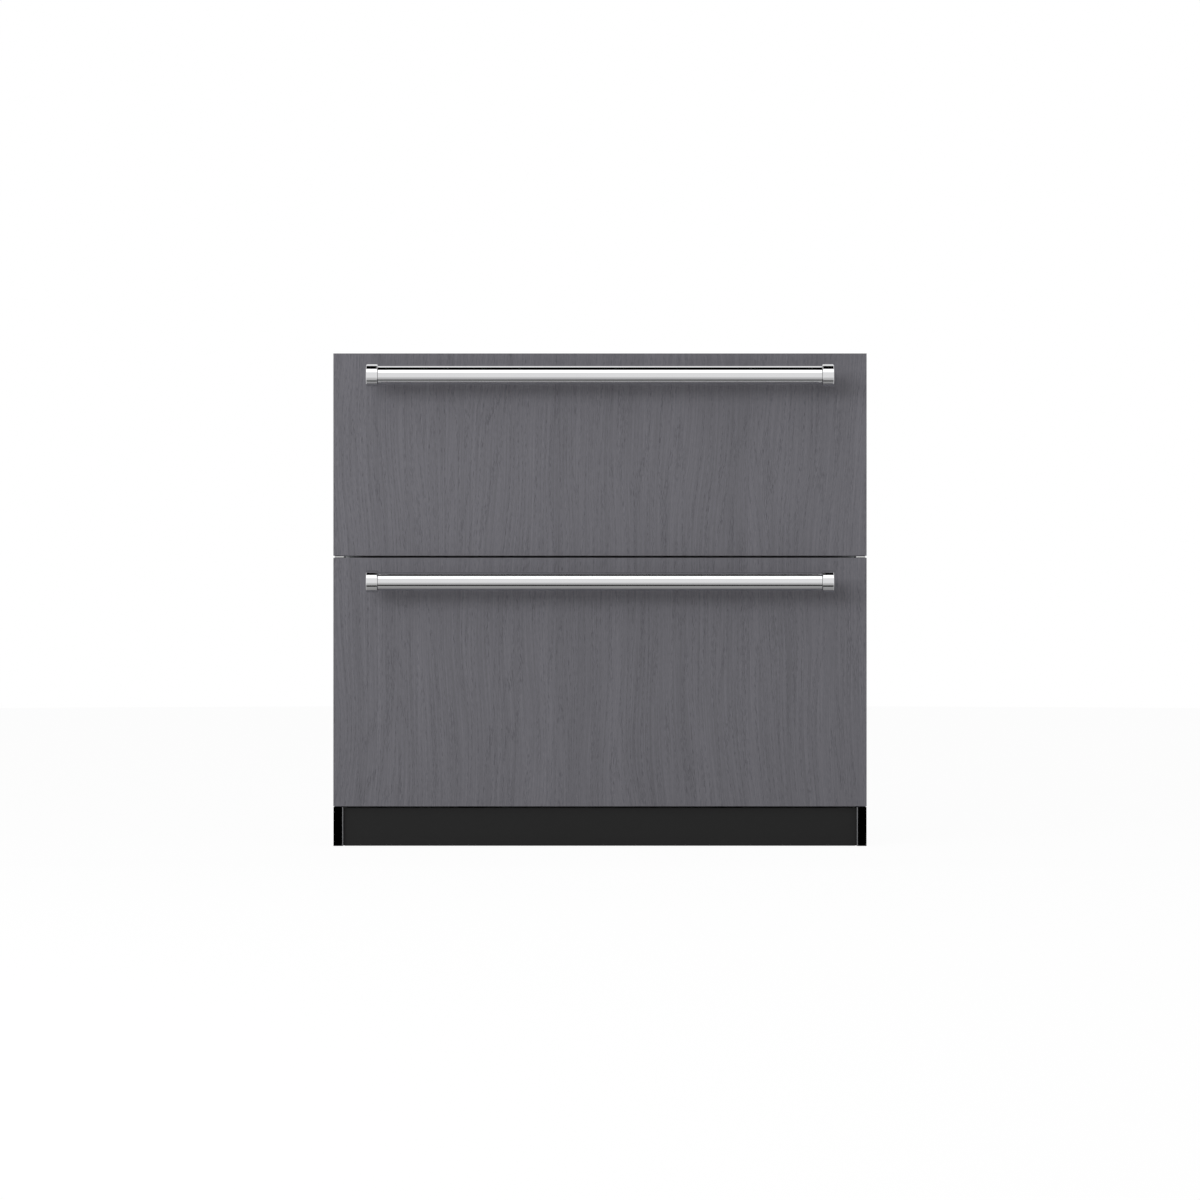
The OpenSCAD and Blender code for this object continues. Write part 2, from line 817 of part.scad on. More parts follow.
module tub_block(grow, low, high, depth) {
    corner = [tub_x + grow, tub_y - grow];
    translate([0, 0, low])
        linear_extrude(height = high - low)
            rounded_rect([-corner.x, corner.y], [corner.x, tub_y + depth + grow], tub_corner_r + grow);
}

// The rim lies on the arms at both sides and stands out at the back
module rim_plate(rim_z) {
    side = tub_x + tub_rim;
    translate([0, 0, rim_z])
        linear_extrude(height = rim_t)
            rounded_rect([-side, tub_y], [side, tub_y + tub_d + tub_rim / 2], tub_corner_r / 2);
}

module upper_tub() {
    color("gainsboro")
        difference() {
            union() {
                tub_block(0, upper_tub_z, upper_rim_z, tub_d);
                rim_plate(upper_rim_z);
            }
            tub_block(-tub_wall, upper_tub_z + tub_wall, upper_rim_z + rim_t + cut, tub_d);
        }
}

// A deep front part and a shallow rear part over the machine compartment
module lower_tub() {
    color("gainsboro")
        difference() {
            union() {
                tub_block(0, lower_tub_z, lower_rim_z, deep_d);
                tub_block(0, shelf_z, lower_rim_z, tub_d);
                rim_plate(lower_rim_z);
            }
            tub_block(-tub_wall, lower_tub_z + tub_wall, lower_rim_z + rim_t + cut, deep_d);
            tub_block(-tub_wall, shelf_z + tub_wall, lower_rim_z + rim_t + cut, tub_d);
        }
}

// A clear plate that hangs on the tub's front and rear edges and slides sideways
module divider(x, rim_z, floor_z, step_y, step_z) {
    side = tub_wall + seat_gap;
    front = tub_y + side;
    back = tub_y + tub_d - side;
    seat = rim_z + rim_t + seat_gap;
    lift = 2;
    color([0.8, 0.85, 0.9, 0.5])
        translate([x, 0, 0])
            along_x(divider_t) {
                rect([front, floor_z + lift], [step_y, seat + hook_h]);
                rect([front, step_z + lift], [back, seat + hook_h]);
                rect([tub_y, seat], [tub_y + tub_d, seat + hook_h]);
            }
}

module upper_divider() {
    floor_z = upper_tub_z + tub_wall;
    divider(upper_divider_x, upper_rim_z, floor_z, tub_y + tub_d / 2, floor_z);
}

module lower_divider() {
    divider(lower_divider_x, lower_rim_z, lower_tub_z + tub_wall,
            tub_y + deep_d - tub_wall - seat_gap, shelf_z + tub_wall);
}

// ---- doors and handles ---------------------------------------------------

// A wooden front panel, with a stepped hole behind each handle post
module front_panel(low, high, handle_z) {
    color([0.4, 0.4, 0.42])
        difference() {
            block([-panel_w / 2, y_face, low], [panel_w / 2, y_door, high]);
            both_sides()
                translate([cap_x, 0, handle_z]) {
                    translate([0, y_face - cut, 0])
                        backwards(panel_t + 2 * cut, handle_screw_d + 2 * bore_gap);
                    translate([0, y_door - counterbore_t, 0])
                        backwards(counterbore_t + cut, screw_head_d + 2);
                }
        }
}

// A steel tray behind the wooden panel, open towards the cabinet
module door_shell(door) {
    color("darkgray")
        difference() {
            block([-body_x, y_door, door[0]], [body_x, y_gasket - liner_t, door[1]]);
            block([shell_t - body_x, y_door + shell_t, door[0] + shell_t],
                  [body_x - shell_t, y_gasket, door[1] - shell_t]);
        }
}

module door_foam(door) {
    color("khaki")
        block([shell_t - body_x, y_door + shell_t, door[0] + shell_t],
              [body_x - shell_t, y_gasket - liner_t, door[1] - shell_t]);
}

module door_liner(door) {
    color("whitesmoke")
        block([-body_x, y_gasket - liner_t, door[0]], [body_x, y_gasket, door[1]]);
}

// One level of the gasket, whose edges draw in by a margin
module gasket_ring(cavity, margin, y, depth) {
    along_y(y, depth)
        difference() {
            opening(cavity, gasket_lap + gasket_w - margin);
            opening(cavity, gasket_lap + margin);
        }
}

// A wide base on the door and a narrower bulb that meets the front frame
module gasket(cavity) {
    base = 0.4 * gasket_t;
    color("dimgray") {
        gasket_ring(cavity, 0, y_gasket, base);
        gasket_ring(cavity, 2, y_gasket + base, gasket_t - base - seat_gap);
    }
}

module handle_bar(z) {
    color("silver")
        translate([-bar_l / 2, y_face - handle_standoff, z]) rotate([0, 90, 0])
            difference() {
                cylinder(h = bar_l, d = bar_d, $fn = 96);
                translate([0, 0, -cut]) cylinder(h = bar_l + 2 * cut, d = bar_d - 2 * bar_wall);
            }
}

// An end cap along X with a bevel on both edges and a spigot that fits in the bar
module end_cap() {
    small = cap_d - 2 * cap_bevel;
    straight = cap_l - 2 * cap_bevel;
    rotate([0, 90, 0]) {
        translate([0, 0, -cap_l / 2]) cylinder(h = cap_bevel, d1 = small, d2 = cap_d, $fn = 96);
        translate([0, 0, -straight / 2]) cylinder(h = straight, d = cap_d, $fn = 96);
        translate([0, 0, straight / 2]) cylinder(h = cap_bevel, d1 = cap_d, d2 = small, $fn = 96);
        translate([0, 0, -cap_l / 2 - spigot_l])
            cylinder(h = spigot_l + cut, d = bar_d - 2 * bar_wall - 2 * bore_gap);
    }
}

// Both end caps on their posts, and the screws that come through the panel from behind
module handle_posts(z) {
    color("silver")
        both_sides()
            translate([cap_x, y_face, z]) {
                difference() {
                    union() {
                        translate([0, -handle_standoff, 0]) {
                            end_cap();
                            backwards(handle_standoff - post_foot_t, post_d);
                        }
                        translate([0, -post_foot_t, 0]) backwards(post_foot_t, post_foot_d);
                    }
                    translate([0, -screw_grip - 1, 0])
                        backwards(screw_grip + 1 + cut, handle_screw_d + 2 * bore_gap);
                }
                translate([0, -screw_grip, 0])
                    backwards(screw_grip + panel_t - counterbore_t, handle_screw_d);
                translate([0, panel_t - counterbore_t, 0]) backwards(screw_head_t, screw_head_d);
            }
}

// ---- cooling -------------------------------------------------------------

// A coil of tubes along X, column by column, with fins across them, centred on the origin
module finned_coil(length, rows, columns, fin_pitch) {
    height = rows * coil_pitch;
    depth = columns * coil_pitch;
    fin_run = length - coil_pitch;
    last = round(fin_run / fin_pitch);
    for (c = [0 : columns - 1])
        translate([0, (c - (columns - 1) / 2) * coil_pitch, 0]) {
            for (i = [0 : rows - 1])
                translate([-length / 2, 0, (i - (rows - 1) / 2) * coil_pitch])
                    rotate([0, 90, 0]) cylinder(h = length, d = line_d);
            for (i = [0 : rows - 2])
                translate([0, 0, (i - (rows - 2) / 2) * coil_pitch])
                    mirror([i % 2, 0, 0]) translate([length / 2, 0, 0]) return_bend();
        }
    for (k = [0 : last])
        translate([(k / last - 0.5) * fin_run - fin_t / 2, -depth / 2, -height / 2])
            cube([fin_t, depth, height]);
}

// Half a turn that joins two neighbouring tubes of a coil
module return_bend() {
    rotate([90, -90, 0])
        rotate_extrude(angle = 180) translate([coil_pitch / 2, 0]) circle(d = line_d);
}

// A fan's square frame with its round throat, and the motor with its shaft on four struts.
// The air comes in at y = 0.
module fan_housing() {
    strut = 6;
    strut_y = motor_y + 2;
    difference() {
        translate([-fan_frame / 2, 0, -fan_frame / 2]) cube([fan_frame, fan_frame_t, fan_frame]);
        translate([0, -cut, 0]) backwards(fan_frame_t + 2 * cut, fan_d + 2 * fan_tip_gap);
    }
    for (a = [45, 135])
        rotate([0, a, 0])
            translate([-fan_d / 2 - 2 * fan_tip_gap, strut_y, -strut / 2])
                cube([fan_d + 4 * fan_tip_gap, 4, strut]);
    translate([0, motor_y, 0]) backwards(motor_t, motor_d);
    translate([0, hub_y + 3, 0]) backwards(motor_y - hub_y, shaft_d);
}

// The hub with its pitched blades, bored for the shaft
module fan_rotor() {
    blade_w = 24;
    blade_t = 1.5;
    difference() {
        union() {
            translate([0, hub_y, 0]) backwards(hub_t, hub_d);
            intersection() {
                for (i = [0 : fan_blades - 1])
                    rotate([0, i * 360 / fan_blades, 0])
                        translate([hub_d / 2 - 3, hub_y + hub_t / 2, 0])
                            rotate([35, 0, 0])
                                translate([0, -blade_t / 2, -blade_w / 2])
                                    cube([fan_d, blade_t, blade_w]);
                translate([0, hub_y - 1, 0]) backwards(hub_t + 1, fan_d);
            }
        }
        translate([0, hub_y + 2, 0]) backwards(hub_t, shaft_d + 2 * running_gap);
    }
}

module at_evaporator_fan() {
    translate([evaporator_fan_x, y_cover + cover_t, evaporator_fan_z]) children();
}

module at_condenser_fan() {
    translate([condenser_fan_x, machine_y, condenser_fan_z]) rotate([0, 0, -90]) children();
}

// The wall in front of the evaporator, with louvres and a guarded mouth for the fan
module evaporator_cover() {
    guard_w = 2;
    guard_inset = 0.5;
    guard_t = cover_t - 2 * guard_inset;
    ring_t = guard_t / 2;
    color("whitesmoke") {
        difference() {
            block([-cavity_x, y_cover, upper_cavity[0]], [cavity_x, y_cover + cover_t, upper_cavity[1]]);
            translate([evaporator_fan_x, y_cover - cut, evaporator_fan_z])
                backwards(cover_t + 2 * cut, fan_d);
            for (x = [louvre_side_room - cavity_x : louvre_step_x : evaporator_right - louvre_w])
                for (drop = [1 : 3])
                    translate([x, y_cover - cut, louvre_top_z - drop * louvre_step_z])
                        cube([louvre_w, cover_t + 2 * cut, louvre_h]);
        }
        translate([evaporator_fan_x, y_cover + guard_inset, evaporator_fan_z]) {
            for (a = [0, 90])
                rotate([0, a, 0])
                    translate([-fan_d / 2 - 1, 0, -guard_w / 2]) cube([fan_d + 2, guard_t, guard_w]);
            for (d = [fan_d / 4, 2 * fan_d / 4, 3 * fan_d / 4])
                difference() {
                    backwards(ring_t, d + guard_w);
                    translate([0, -cut, 0]) backwards(ring_t + 2 * cut, d - guard_w);
                }
        }
    }
}

// The evaporator, held to the liner's back wall by two hangers
module evaporator_coil() {
    x = (evaporator_left + evaporator_right) / 2;
    hanger = 1.5 * evaporator_fin_pitch;
    color("lightgray") {
        translate([x, evaporator_y, evaporator_z])
            mirror([1, 0, 0])
                finned_coil(evaporator_l, evaporator_rows, 1, evaporator_fin_pitch);
        for (side = [-1, 1])
            translate([x + side * evaporator_l / 4, 0, evaporator_z])
                block([-hanger / 2, evaporator_y + coil_pitch / 2, -hanger / 2],
                      [hanger / 2, y_cavity_back, hanger / 2]);
    }
}

module evaporator_fan_housing() {
    color("dimgray") at_evaporator_fan() fan_housing();
}

module evaporator_fan() {
    color("white") at_evaporator_fan() fan_rotor();
}

// The condenser on its two feet, with its tubes front to back and a header at each end
module condenser() {
    half = condenser_rows * coil_pitch / 2;
    color("black") {
        translate([condenser_x, machine_y, condenser_z]) {
            rotate([0, 0, 90])
                finned_coil(condenser_l, condenser_rows, condenser_columns, condenser_fin_pitch);
            for (z = [-half + coil_pitch / 2, half - coil_pitch / 2])
                translate([-condenser_w / 2, -condenser_l / 2, z])
                    rotate([0, 90, 0]) cylinder(h = condenser_w, d = line_d + 4);
        }
        for (y = [-condenser_l / 3, condenser_l / 3])
            block([condenser_x - 20, machine_y + y - 5, z_base_top],
                  [condenser_x + 20, machine_y + y + 5, condenser_z - half]);
    }
}

// The condenser fan's housing on its foot
module condenser_fan_housing() {
    color("dimgray") {
        at_condenser_fan() fan_housing();
        block([condenser_fan_x, machine_y - 40, z_base_top],
              [condenser_fan_x + fan_frame_t, machine_y + 40, condenser_fan_z - fan_frame / 2]);
    }
}

module condenser_fan() {
    color("white") at_condenser_fan() fan_rotor();
}

// The space that the compressor's can takes
module can(grow) {
    translate([compressor_x, machine_y, can_z])
        cylinder(h = compressor_h - dome_h + grow, d = compressor_d, $fn = 96);
}

// A domed can on a foot plate with a grommet under each corner, and its terminal box
module compressor() {
    plate = [compressor_d / 2 + 20, min(compressor_d / 2 + 4, machine_d / 2 - 8)];
    plate_t = 3;
    dome_r = (pow(compressor_d / 2, 2) + dome_h * dome_h) / (2 * dome_h);
    grommet_d = 22;
    color([0.1, 0.1, 0.1]) {
        can(0);
        translate([compressor_x, machine_y, can_z]) {
            translate([0, 0, compressor_h - dome_h])
                rotate_extrude($fn = 96)
                    intersection() {
                        translate([0, dome_h - dome_r]) circle(r = dome_r);
                        square([compressor_d / 2, dome_h]);
                    }
            block([-plate.x, -plate.y, 0], [plate.x, plate.y, plate_t]);
            block([compressor_d / 2 - 8, -25, 30], [compressor_d / 2 + 26, 25, 90]);
            for (x = [12 - plate.x, plate.x - 12], y = [12 - plate.y, plate.y - 12])
                translate([x, y, -grommet_h]) cylinder(h = grommet_h, d = grommet_d);
        }
    }
}

// The refrigerant's way: compressor to condenser, condenser to evaporator, and back
function hot_line() =
    let (z = can_z + compressor_h - dome_h - line_d, x = compressor_x - compressor_d / 2 - hot_line_room,
         top = condenser_z + (condenser_rows - 1) / 2 * coil_pitch, y = machine_y - condenser_l / 2)
    [[compressor_x, machine_y, z], [x, machine_y, z], [x, machine_y, top], [x, y, top],
     [condenser_x + condenser_w / 2, y, top]];

function liquid_line() =
    let (low = condenser_z - (condenser_rows - 1) / 2 * coil_pitch, high = z_machine_top - line_ceiling_room,
         end = evaporator_z - (evaporator_rows - 1) / 2 * coil_pitch,
         y = machine_y - condenser_l / 2, x = liquid_line_x,
         rise_x = evaporator_right + liquid_rise_room)
    [[condenser_x + condenser_w / 2, y, low], [x, y, low], [x, y, high], [x, line_y, high],
     [rise_x, line_y, high], [rise_x, line_y, end], [rise_x, evaporator_y, end],
     [evaporator_right, evaporator_y, end]];

function suction_line() =
    let (z = can_z + compressor_h - dome_h - line_d,
         x = compressor_x + compressor_d / 2 + suction_side_room,
         end = evaporator_z + (evaporator_rows - 1) / 2 * coil_pitch,
         rise_x = evaporator_right + suction_rise_room)
    [[compressor_x, machine_y, z], [x, machine_y, z], [x, line_y, z], [rise_x, line_y, z],
     [rise_x, line_y, end], [rise_x, evaporator_y, end], [evaporator_right, evaporator_y, end]];

// The drain from the evaporator's floor down the back wall into the tray
function drain_line() =
    let (z = upper_cavity[0] + drain_d / 2 + 2)
    [[0, y_cavity_back - 1, z], [0, line_y, z], [0, line_y, z_base_top + tray_h / 2]];

// The holes that the lines and the drain pass through, with a clearance around them
module line_holes() {
    pipe(liquid_line(), line_d + 2 * seat_gap);
    pipe(suction_line(), line_d + 2 * seat_gap);
    pipe(drain_line(), drain_d + 2 * seat_gap);
}

module refrigerant_lines() {
    color("peru")
        difference() {
            union() {
                pipe(hot_line(), line_d);
                pipe(liquid_line(), line_d);
                pipe(suction_line(), line_d);
            }
            can(cut);
        }
}

// The tray that the melted frost runs into, and the tube that leads there
module condensate_drain() {
    low = [tray_left, machine_y - 50, z_base_top];
    high = [tray_right, y_back - 10, z_base_top + tray_h];
    wall = [2, 2, 2];
    color("gray") {
        difference() {
            block(low, high);
            block(low + wall, high + [-2, -2, cut]);
        }
        pipe(drain_line(), drain_d);
    }
}

// The grille over the machine compartment at the back
module machine_cover() {
    slot = [8, 40];
    slot_step = [24, 52];
    slot_rise = 22;
    side_room = 60;
    gland_room = 70;
    color("gray")
        difference() {
            block([shell_t - body_x, y_back - shell_t, z_base_top],
                  [body_x - shell_t, y_back, z_machine_top]);
            for (x = [side_room - body_x : slot_step.x : gland_x - gland_room], row = [0 : 2])
                translate([x, y_back - shell_t - cut, z_base_top + slot_rise + row * slot_step.y])
                    cube([slot.x, shell_t + 2 * cut, slot.y]);
            translate([gland_x, y_back - shell_t - cut, gland_z])
                backwards(shell_t + 2 * cut, gland_d + 2 * bore_gap);
        }
}

// The bush that the mains cord leaves through
module cord_gland() {
    color("black")
        translate([gland_x, y_back - gland_l, gland_z])
            difference() {
                union() {
                    backwards(gland_l, gland_d);
                    translate([0, gland_l - shell_t - gland_flange, 0])
                        backwards(gland_flange, gland_d + 6);
                }
                translate([0, -cut, 0]) backwards(gland_l + 2 * cut, gland_bore);
            }
}

// ---- controls and lights -------------------------------------------------

module control_panel() {
    color("dimgray")
        block([-control_w / 2, control_y, upper_cavity[1] - control_h],
              [control_w / 2, control_y + control_d, upper_cavity[1]]);
}

module control_glass() {
    border = 3;
    color("black")
        block([border - control_w / 2, control_y - glass_t, upper_cavity[1] - control_h + border],
              [control_w / 2 - border, control_y, upper_cavity[1] - border]);
}

module led_lights() {
    y = control_y + control_d + 12;
    color("white")
        for (ceiling = [upper_cavity[1], lower_cavity[1]])
            block([-light_w / 2, y, ceiling - light_t], [light_w / 2, y + light_d, ceiling]);
}

// ---- all pieces ----------------------------------------------------------

cabinet_shell();
base_pan();
back_panel();
machine_bulkhead();
front_frame();
upper_liner();
lower_liner();
insulation_foam();
evaporator_cover();
evaporator_coil();
evaporator_fan_housing();
control_panel();
control_glass();
led_lights();
machine_cover();
compressor();
condenser();
condenser_fan_housing();
refrigerant_lines();
condensate_drain();
cord_gland();
kick_plate();
kick_returns();
kick_trim_strips();
kick_brackets();
fixing_ears();
fixed_rails();
soft_close_units();
evaporator_fan();
condenser_fan();
foot(-foot_x, front_foot_y);  // foot_front_left
foot(foot_x, front_foot_y);  // foot_front_right
foot(-foot_x, rear_foot_y);  // foot_rear_left
foot(foot_x, rear_foot_y);  // foot_rear_right
mid_rails(upper_rim_z);  // upper_mid_rails
mid_rails(lower_rim_z);  // lower_mid_rails
outer_balls(upper_rim_z);  // upper_outer_balls
inner_balls(upper_rim_z);  // upper_inner_balls
outer_balls(lower_rim_z);  // lower_outer_balls
inner_balls(lower_rim_z);  // lower_inner_balls
front_panel(z_upper, z_top, upper_handle_z);  // upper_front_panel
door_shell(upper_door);  // upper_door_shell
door_foam(upper_door);  // upper_door_foam
door_liner(upper_door);  // upper_door_liner
gasket(upper_cavity);  // upper_gasket
upper_tub();
arms(upper_rim_z);  // upper_arms
handle_bar(upper_handle_z);  // upper_handle_bar
handle_posts(upper_handle_z);  // upper_handle_posts
upper_divider();
front_panel(plinth_h, z_lower_top, lower_handle_z);  // lower_front_panel
door_shell(lower_door);  // lower_door_shell
door_foam(lower_door);  // lower_door_foam
door_liner(lower_door);  // lower_door_liner
gasket(lower_cavity);  // lower_gasket
lower_tub();
arms(lower_rim_z);  // lower_arms
handle_bar(lower_handle_z);  // lower_handle_bar
handle_posts(lower_handle_z);  // lower_handle_posts
lower_divider();
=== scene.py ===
"""Finishes and small pieces of an undercounter refrigerator with two drawers, and its studio."""

import math

import bmesh
import bpy
from bpy.props import FloatProperty, FloatVectorProperty, PointerProperty
from mathutils import Matrix, Vector


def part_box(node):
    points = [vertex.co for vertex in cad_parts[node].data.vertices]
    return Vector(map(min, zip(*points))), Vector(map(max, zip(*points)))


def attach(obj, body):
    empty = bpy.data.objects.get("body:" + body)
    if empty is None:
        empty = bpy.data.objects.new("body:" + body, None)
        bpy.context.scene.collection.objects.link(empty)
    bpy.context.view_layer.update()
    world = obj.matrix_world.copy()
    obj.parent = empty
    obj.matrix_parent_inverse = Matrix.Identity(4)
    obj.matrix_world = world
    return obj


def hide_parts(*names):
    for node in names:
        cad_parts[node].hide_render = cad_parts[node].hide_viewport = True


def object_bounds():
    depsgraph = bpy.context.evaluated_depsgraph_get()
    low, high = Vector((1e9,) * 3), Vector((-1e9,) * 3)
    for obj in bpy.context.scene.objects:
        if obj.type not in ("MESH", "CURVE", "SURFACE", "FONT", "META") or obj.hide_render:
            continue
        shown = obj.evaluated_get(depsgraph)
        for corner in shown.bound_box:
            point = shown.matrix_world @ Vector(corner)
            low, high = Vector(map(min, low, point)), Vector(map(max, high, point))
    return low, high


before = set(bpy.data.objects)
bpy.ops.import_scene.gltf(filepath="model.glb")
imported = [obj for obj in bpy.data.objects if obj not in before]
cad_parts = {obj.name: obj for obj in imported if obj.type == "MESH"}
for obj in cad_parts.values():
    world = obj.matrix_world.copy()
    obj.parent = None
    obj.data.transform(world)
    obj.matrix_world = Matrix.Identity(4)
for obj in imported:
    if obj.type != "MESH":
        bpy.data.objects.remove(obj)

bl_info = {
    "name": "Undercounter Refrigerator",
    "version": (1, 0, 0),
    "blender": (4, 5, 0),
    "location": "View3D > Sidebar > Refrigerator",
    "description": "Finishes and small pieces of an undercounter drawer refrigerator",
    "category": "Object",
}

MM = 0.001
CAD_LOW, CAD_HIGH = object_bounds()
FRONT_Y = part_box("upper_front_panel")[0].y
DRAWERS = ("upper", "lower")
FEET = ("front_left", "front_right", "rear_left", "rear_right")
SIDES = (-1, 1)
UP = (0, 0, 1)
WHITE = (1.0, 1.0, 1.0, 1.0)


# ---- what a user would change ------------------------------------------------

def colour(name, description, default):
    return FloatVectorProperty(name=name, description=description, default=default,
                               subtype="COLOR", size=3, min=0.0, max=1.0)


def length(name, description, default):
    return FloatProperty(name=name, description=description, default=default, min=0.0,
                         unit="LENGTH", subtype="DISTANCE", precision=5)


class FridgeColours(bpy.types.PropertyGroup):
    """Colours of the refrigerator's finishes."""

    oak: colour("Oak", "Stained oak between its pores", (0.130, 0.1275, 0.1425))
    oak_pore: colour("Oak pores", "Stain that stands in the oak's pores", (0.062, 0.0605, 0.070))
    steel: colour("Handle steel", "Polished steel of the handles", (0.71, 0.71, 0.72))
    kick: colour("Kick plate", "Charcoal paint of the kick plate", (0.0150, 0.0150, 0.0150))
    plinth: colour("Plinth", "Black paint of the plinth's returns", (0.0005, 0.0005, 0.0005))
    sheet: colour("Cabinet sheet", "Grey paint of the cabinet's outer sheet", (0.42, 0.43, 0.44))
    door: colour("Door sheet", "Grey paint of the doors and the front frame", (0.33, 0.34, 0.35))
    liner: colour("Liner", "White plastic of the liners", (0.80, 0.81, 0.82))
    tub: colour("Tub", "Pale plastic of the tubs", (0.72, 0.74, 0.76))
    rubber: colour("Rubber", "Gasket and foot rubber", (0.09, 0.09, 0.095))
    copper: colour("Copper", "Drawn copper of the refrigerant lines", (0.72, 0.36, 0.22))
    zinc: colour("Zinc", "Galvanised sheets", (0.55, 0.56, 0.57))
    rail: colour("Rails", "Plated steel of the slides and arms", (0.60, 0.61, 0.62))
    cage: colour("Ball cages", "Brass of the ball cages", (0.66, 0.50, 0.24))
    foot: colour("Feet", "Steel of the levelling feet", (0.38, 0.38, 0.39))
    screw: colour("Screws", "Plated steel of the cabinet's screws", (0.52, 0.53, 0.54))
    # this colour also paints the rings of painted shade beside the handles' end caps
    grub: colour("Grub screws", "Blackened steel in the handles' joints", (0.03, 0.03, 0.03))
    # a real aluminium strip, whose light tone also stands in for the kick plate's edges catching
    # light: partly painted highlight
    trim: colour("Bright strips", "Aluminium of the plinth's strips", (0.25, 0.25, 0.26))
    coil: colour("Coil", "Aluminium of the evaporator's coil", (0.62, 0.63, 0.64))
    compressor: colour("Compressor", "Black paint of the compressor", (0.012, 0.012, 0.013))
    condenser: colour("Condenser", "Black paint of the condenser", (0.02, 0.02, 0.02))
    black_plastic: colour("Black plastic", "Controls, fans and gland", (0.02, 0.02, 0.022))
    fan: colour("Fan blades", "Pale plastic of the fans' blades", (0.70, 0.71, 0.71))
    drain: colour("Drain", "Grey plastic of the drain", (0.30, 0.31, 0.32))
    touch: colour("Touch fields", "Print on the control glass", (0.75, 0.77, 0.78))
    edge_seal: colour("Edge seals", "Rubber behind the panels' edges", (0.02, 0.02, 0.022))
    glass: colour("Glass", "Glass of the controls", (0.006, 0.006, 0.007))
    acrylic: colour("Acrylic", "Clear plastic of the dividers", (0.90, 0.96, 0.96))
    diffuser: colour("Light covers", "Milky plastic over the lights", (0.86, 0.87, 0.86))
    foam: colour("Foam", "Cut edges of the insulation", (0.72, 0.62, 0.38))


class FridgeSizes(bpy.types.PropertyGroup):
    """Sizes of edges and small pieces."""

    board_edge: length("Board edge", "Radius on the wooden panels' edges", 0.8 * MM)
    sheet_edge: length("Sheet edge", "Radius on folded sheet edges", 0.5 * MM)
    plastic_edge: length("Plastic edge", "Radius on moulded edges", 0.8 * MM)
    gasket_width: length("Gasket width", "Width of the door gaskets", 14 * MM)
    thread_pitch: length("Thread pitch", "Pitch of the feet's thread", 1.75 * MM)
    thread_depth: length("Thread depth", "Depth of the feet's thread", 0.9 * MM)
    grub_diameter: length("Grub screw", "Diameter of the handle caps' grub screws", 4 * MM)
    # the dark ring beside each end cap is painted shade, standing in for the joint's shadow
    shade_ring_width: length("Joint ring", "Width of the dark ring beside an end cap", 0.7 * MM)
    screw_diameter: length("Screw head", "Diameter of the cabinet's screw heads", 7.5 * MM)
    seal_reach: length("Edge seal", "How far the panels' edge seals reach into the gap", 1.2 * MM)
    pore_length: length("Pore length", "Length of the oak's pores along the grain", 10 * MM)
    pore_width: length("Pore width", "Distance between the oak's pores", 0.5 * MM)


class FridgeStudio(bpy.types.PropertyGroup):
    """Camera and light."""

    distance: length("Camera distance", "From the camera to the panels' face", 7.0)
    eye: length("Camera height", "Height of the camera over the floor", 0.4208)
    lens: FloatProperty(name="Lens", description="Focal length of the camera", default=122.8,
                        min=10.0, unit="CAMERA")
    sky: FloatProperty(name="Sky", description="Strength of the light from all around",
                       default=0.47, min=0.0)
    key: FloatProperty(name="Key lamp", description="Power of the wide front lamp",
                       default=143.0, min=0.0, unit="POWER")
    top: FloatProperty(name="Top lamp", description="Power of the lamp above the front",
                       default=20.0, min=0.0, unit="POWER")
    floor_radius: length("Floor", "Half the width of the floor", 9.0)
    floor_tone: FloatProperty(name="Floor tone", description="Grey of the floor under the light",
                              default=0.86, min=0.0, max=1.0)


# ---- materials ---------------------------------------------------------------

